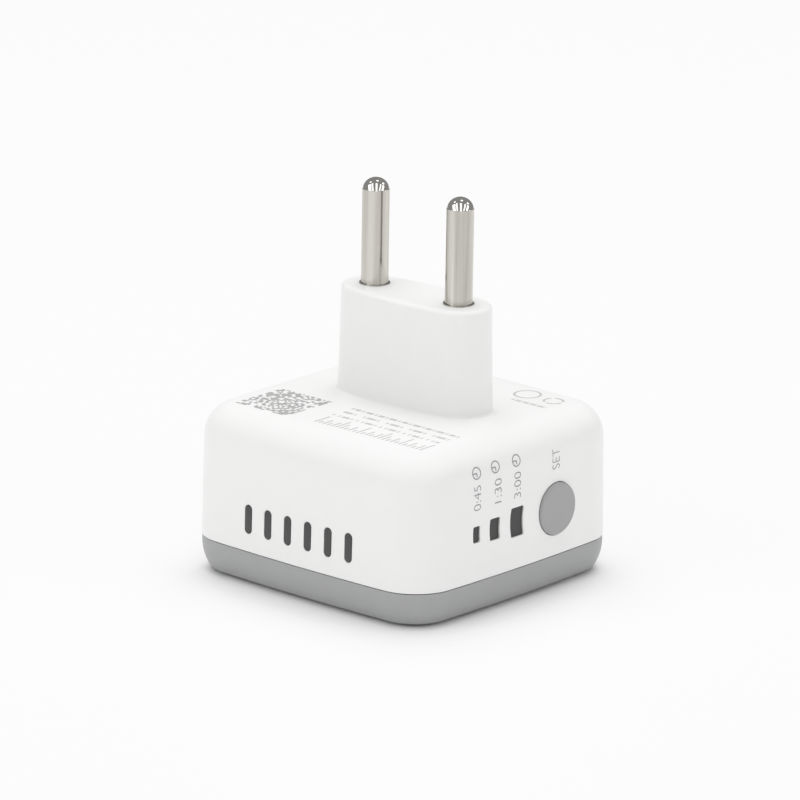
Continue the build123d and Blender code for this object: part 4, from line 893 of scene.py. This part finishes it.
# ---- Dropper resistor ----
# A power resistor in grey flameproof cement, with four painted rings for its value.
# The rings are plain and stand for no real value. It lies along X on its leads.
RESISTOR_MIDDLE = -7.8 * MM
RESISTOR_LENGTH = 8.0 * MM
RESISTOR_RINGS = (                      # from, to, as shares of the length, and colour
    (0.22, 0.32, (0.10, 0.04, 0.02)),
    (0.38, 0.48, (0.02, 0.02, 0.02)),
    (0.54, 0.64, (0.50, 0.12, 0.02)),
    (0.78, 0.86, (0.45, 0.32, 0.08)),
)
resistor_grey = moulded_plastic(
    "resistor_grey", (0.31, 0.34, 0.37), (0.26, 0.29, 0.32), (0.50, 0.64), 0.7,
    {"Ripple Scale": 800.0, "Grain Scale": 3800.0, "Grain Share": 0.7},
)
nodes, link = resistor_grey.node_tree.nodes, resistor_grey.node_tree.links.new
shader = nodes["Principled BSDF"]
ring_place = nodes.new("ShaderNodeTexCoord")
ring_split = nodes.new("ShaderNodeSeparateXYZ")
ring_along = nodes.new("ShaderNodeMapRange")
ring_along.inputs["From Min"].default_value = RESISTOR_MIDDLE - RESISTOR_LENGTH / 2
ring_along.inputs["From Max"].default_value = RESISTOR_MIDDLE + RESISTOR_LENGTH / 2
ring_mask = nodes.new("ShaderNodeValToRGB")
ring_paint = nodes.new("ShaderNodeValToRGB")
ring_mask.color_ramp.interpolation = "CONSTANT"
ring_paint.color_ramp.interpolation = "CONSTANT"
ring_mask.color_ramp.elements.remove(ring_mask.color_ramp.elements[1])
ring_paint.color_ramp.elements.remove(ring_paint.color_ramp.elements[1])
ring_mask.color_ramp.elements[0].color = (0, 0, 0, 1)
for ring_from, ring_to, ring_colour in RESISTOR_RINGS:
    ring_mask.color_ramp.elements.new(ring_from).color = (1, 1, 1, 1)
    ring_mask.color_ramp.elements.new(ring_to).color = (0, 0, 0, 1)
    ring_paint.color_ramp.elements.new(ring_from).color = (*ring_colour, 1)
ring_over = nodes.new("ShaderNodeMix")
ring_over.data_type = "RGBA"
body_colour = shader.inputs["Base Color"].links[0].from_socket
link(ring_place.outputs["Object"], ring_split.inputs["Vector"])
link(ring_split.outputs["X"], ring_along.inputs["Value"])
link(ring_along.outputs["Result"], ring_mask.inputs["Fac"])
link(ring_along.outputs["Result"], ring_paint.inputs["Fac"])
link(ring_mask.outputs["Color"], ring_over.inputs["Factor"])
link(body_colour, ring_over.inputs["A"])
link(ring_paint.outputs["Color"], ring_over.inputs["B"])
link(ring_over.outputs["Result"], shader.inputs["Base Color"])
dress(resistor_grey, "dropper_resistor")

# ---- Indicator lights ----
# Three small lamps cast in water-clear epoxy, warm where the chip sits inside.
# They shine only while the timer runs, so they are dark here.
light_lens = moulded_plastic(
    "light_lens", (0.90, 0.86, 0.72), (0.84, 0.79, 0.62), (0.05, 0.12), 0.1,
    {"Ripple Scale": 900.0, "Grain Scale": 6000.0, "Grain Share": 0.2},
)
shader = light_lens.node_tree.nodes["Principled BSDF"]
shader.inputs["Transmission Weight"].default_value = 0.7
shader.inputs["IOR"].default_value = 1.53               # epoxy
dress(light_lens, "indicator_light_short", "indicator_light_medium", "indicator_light_long")
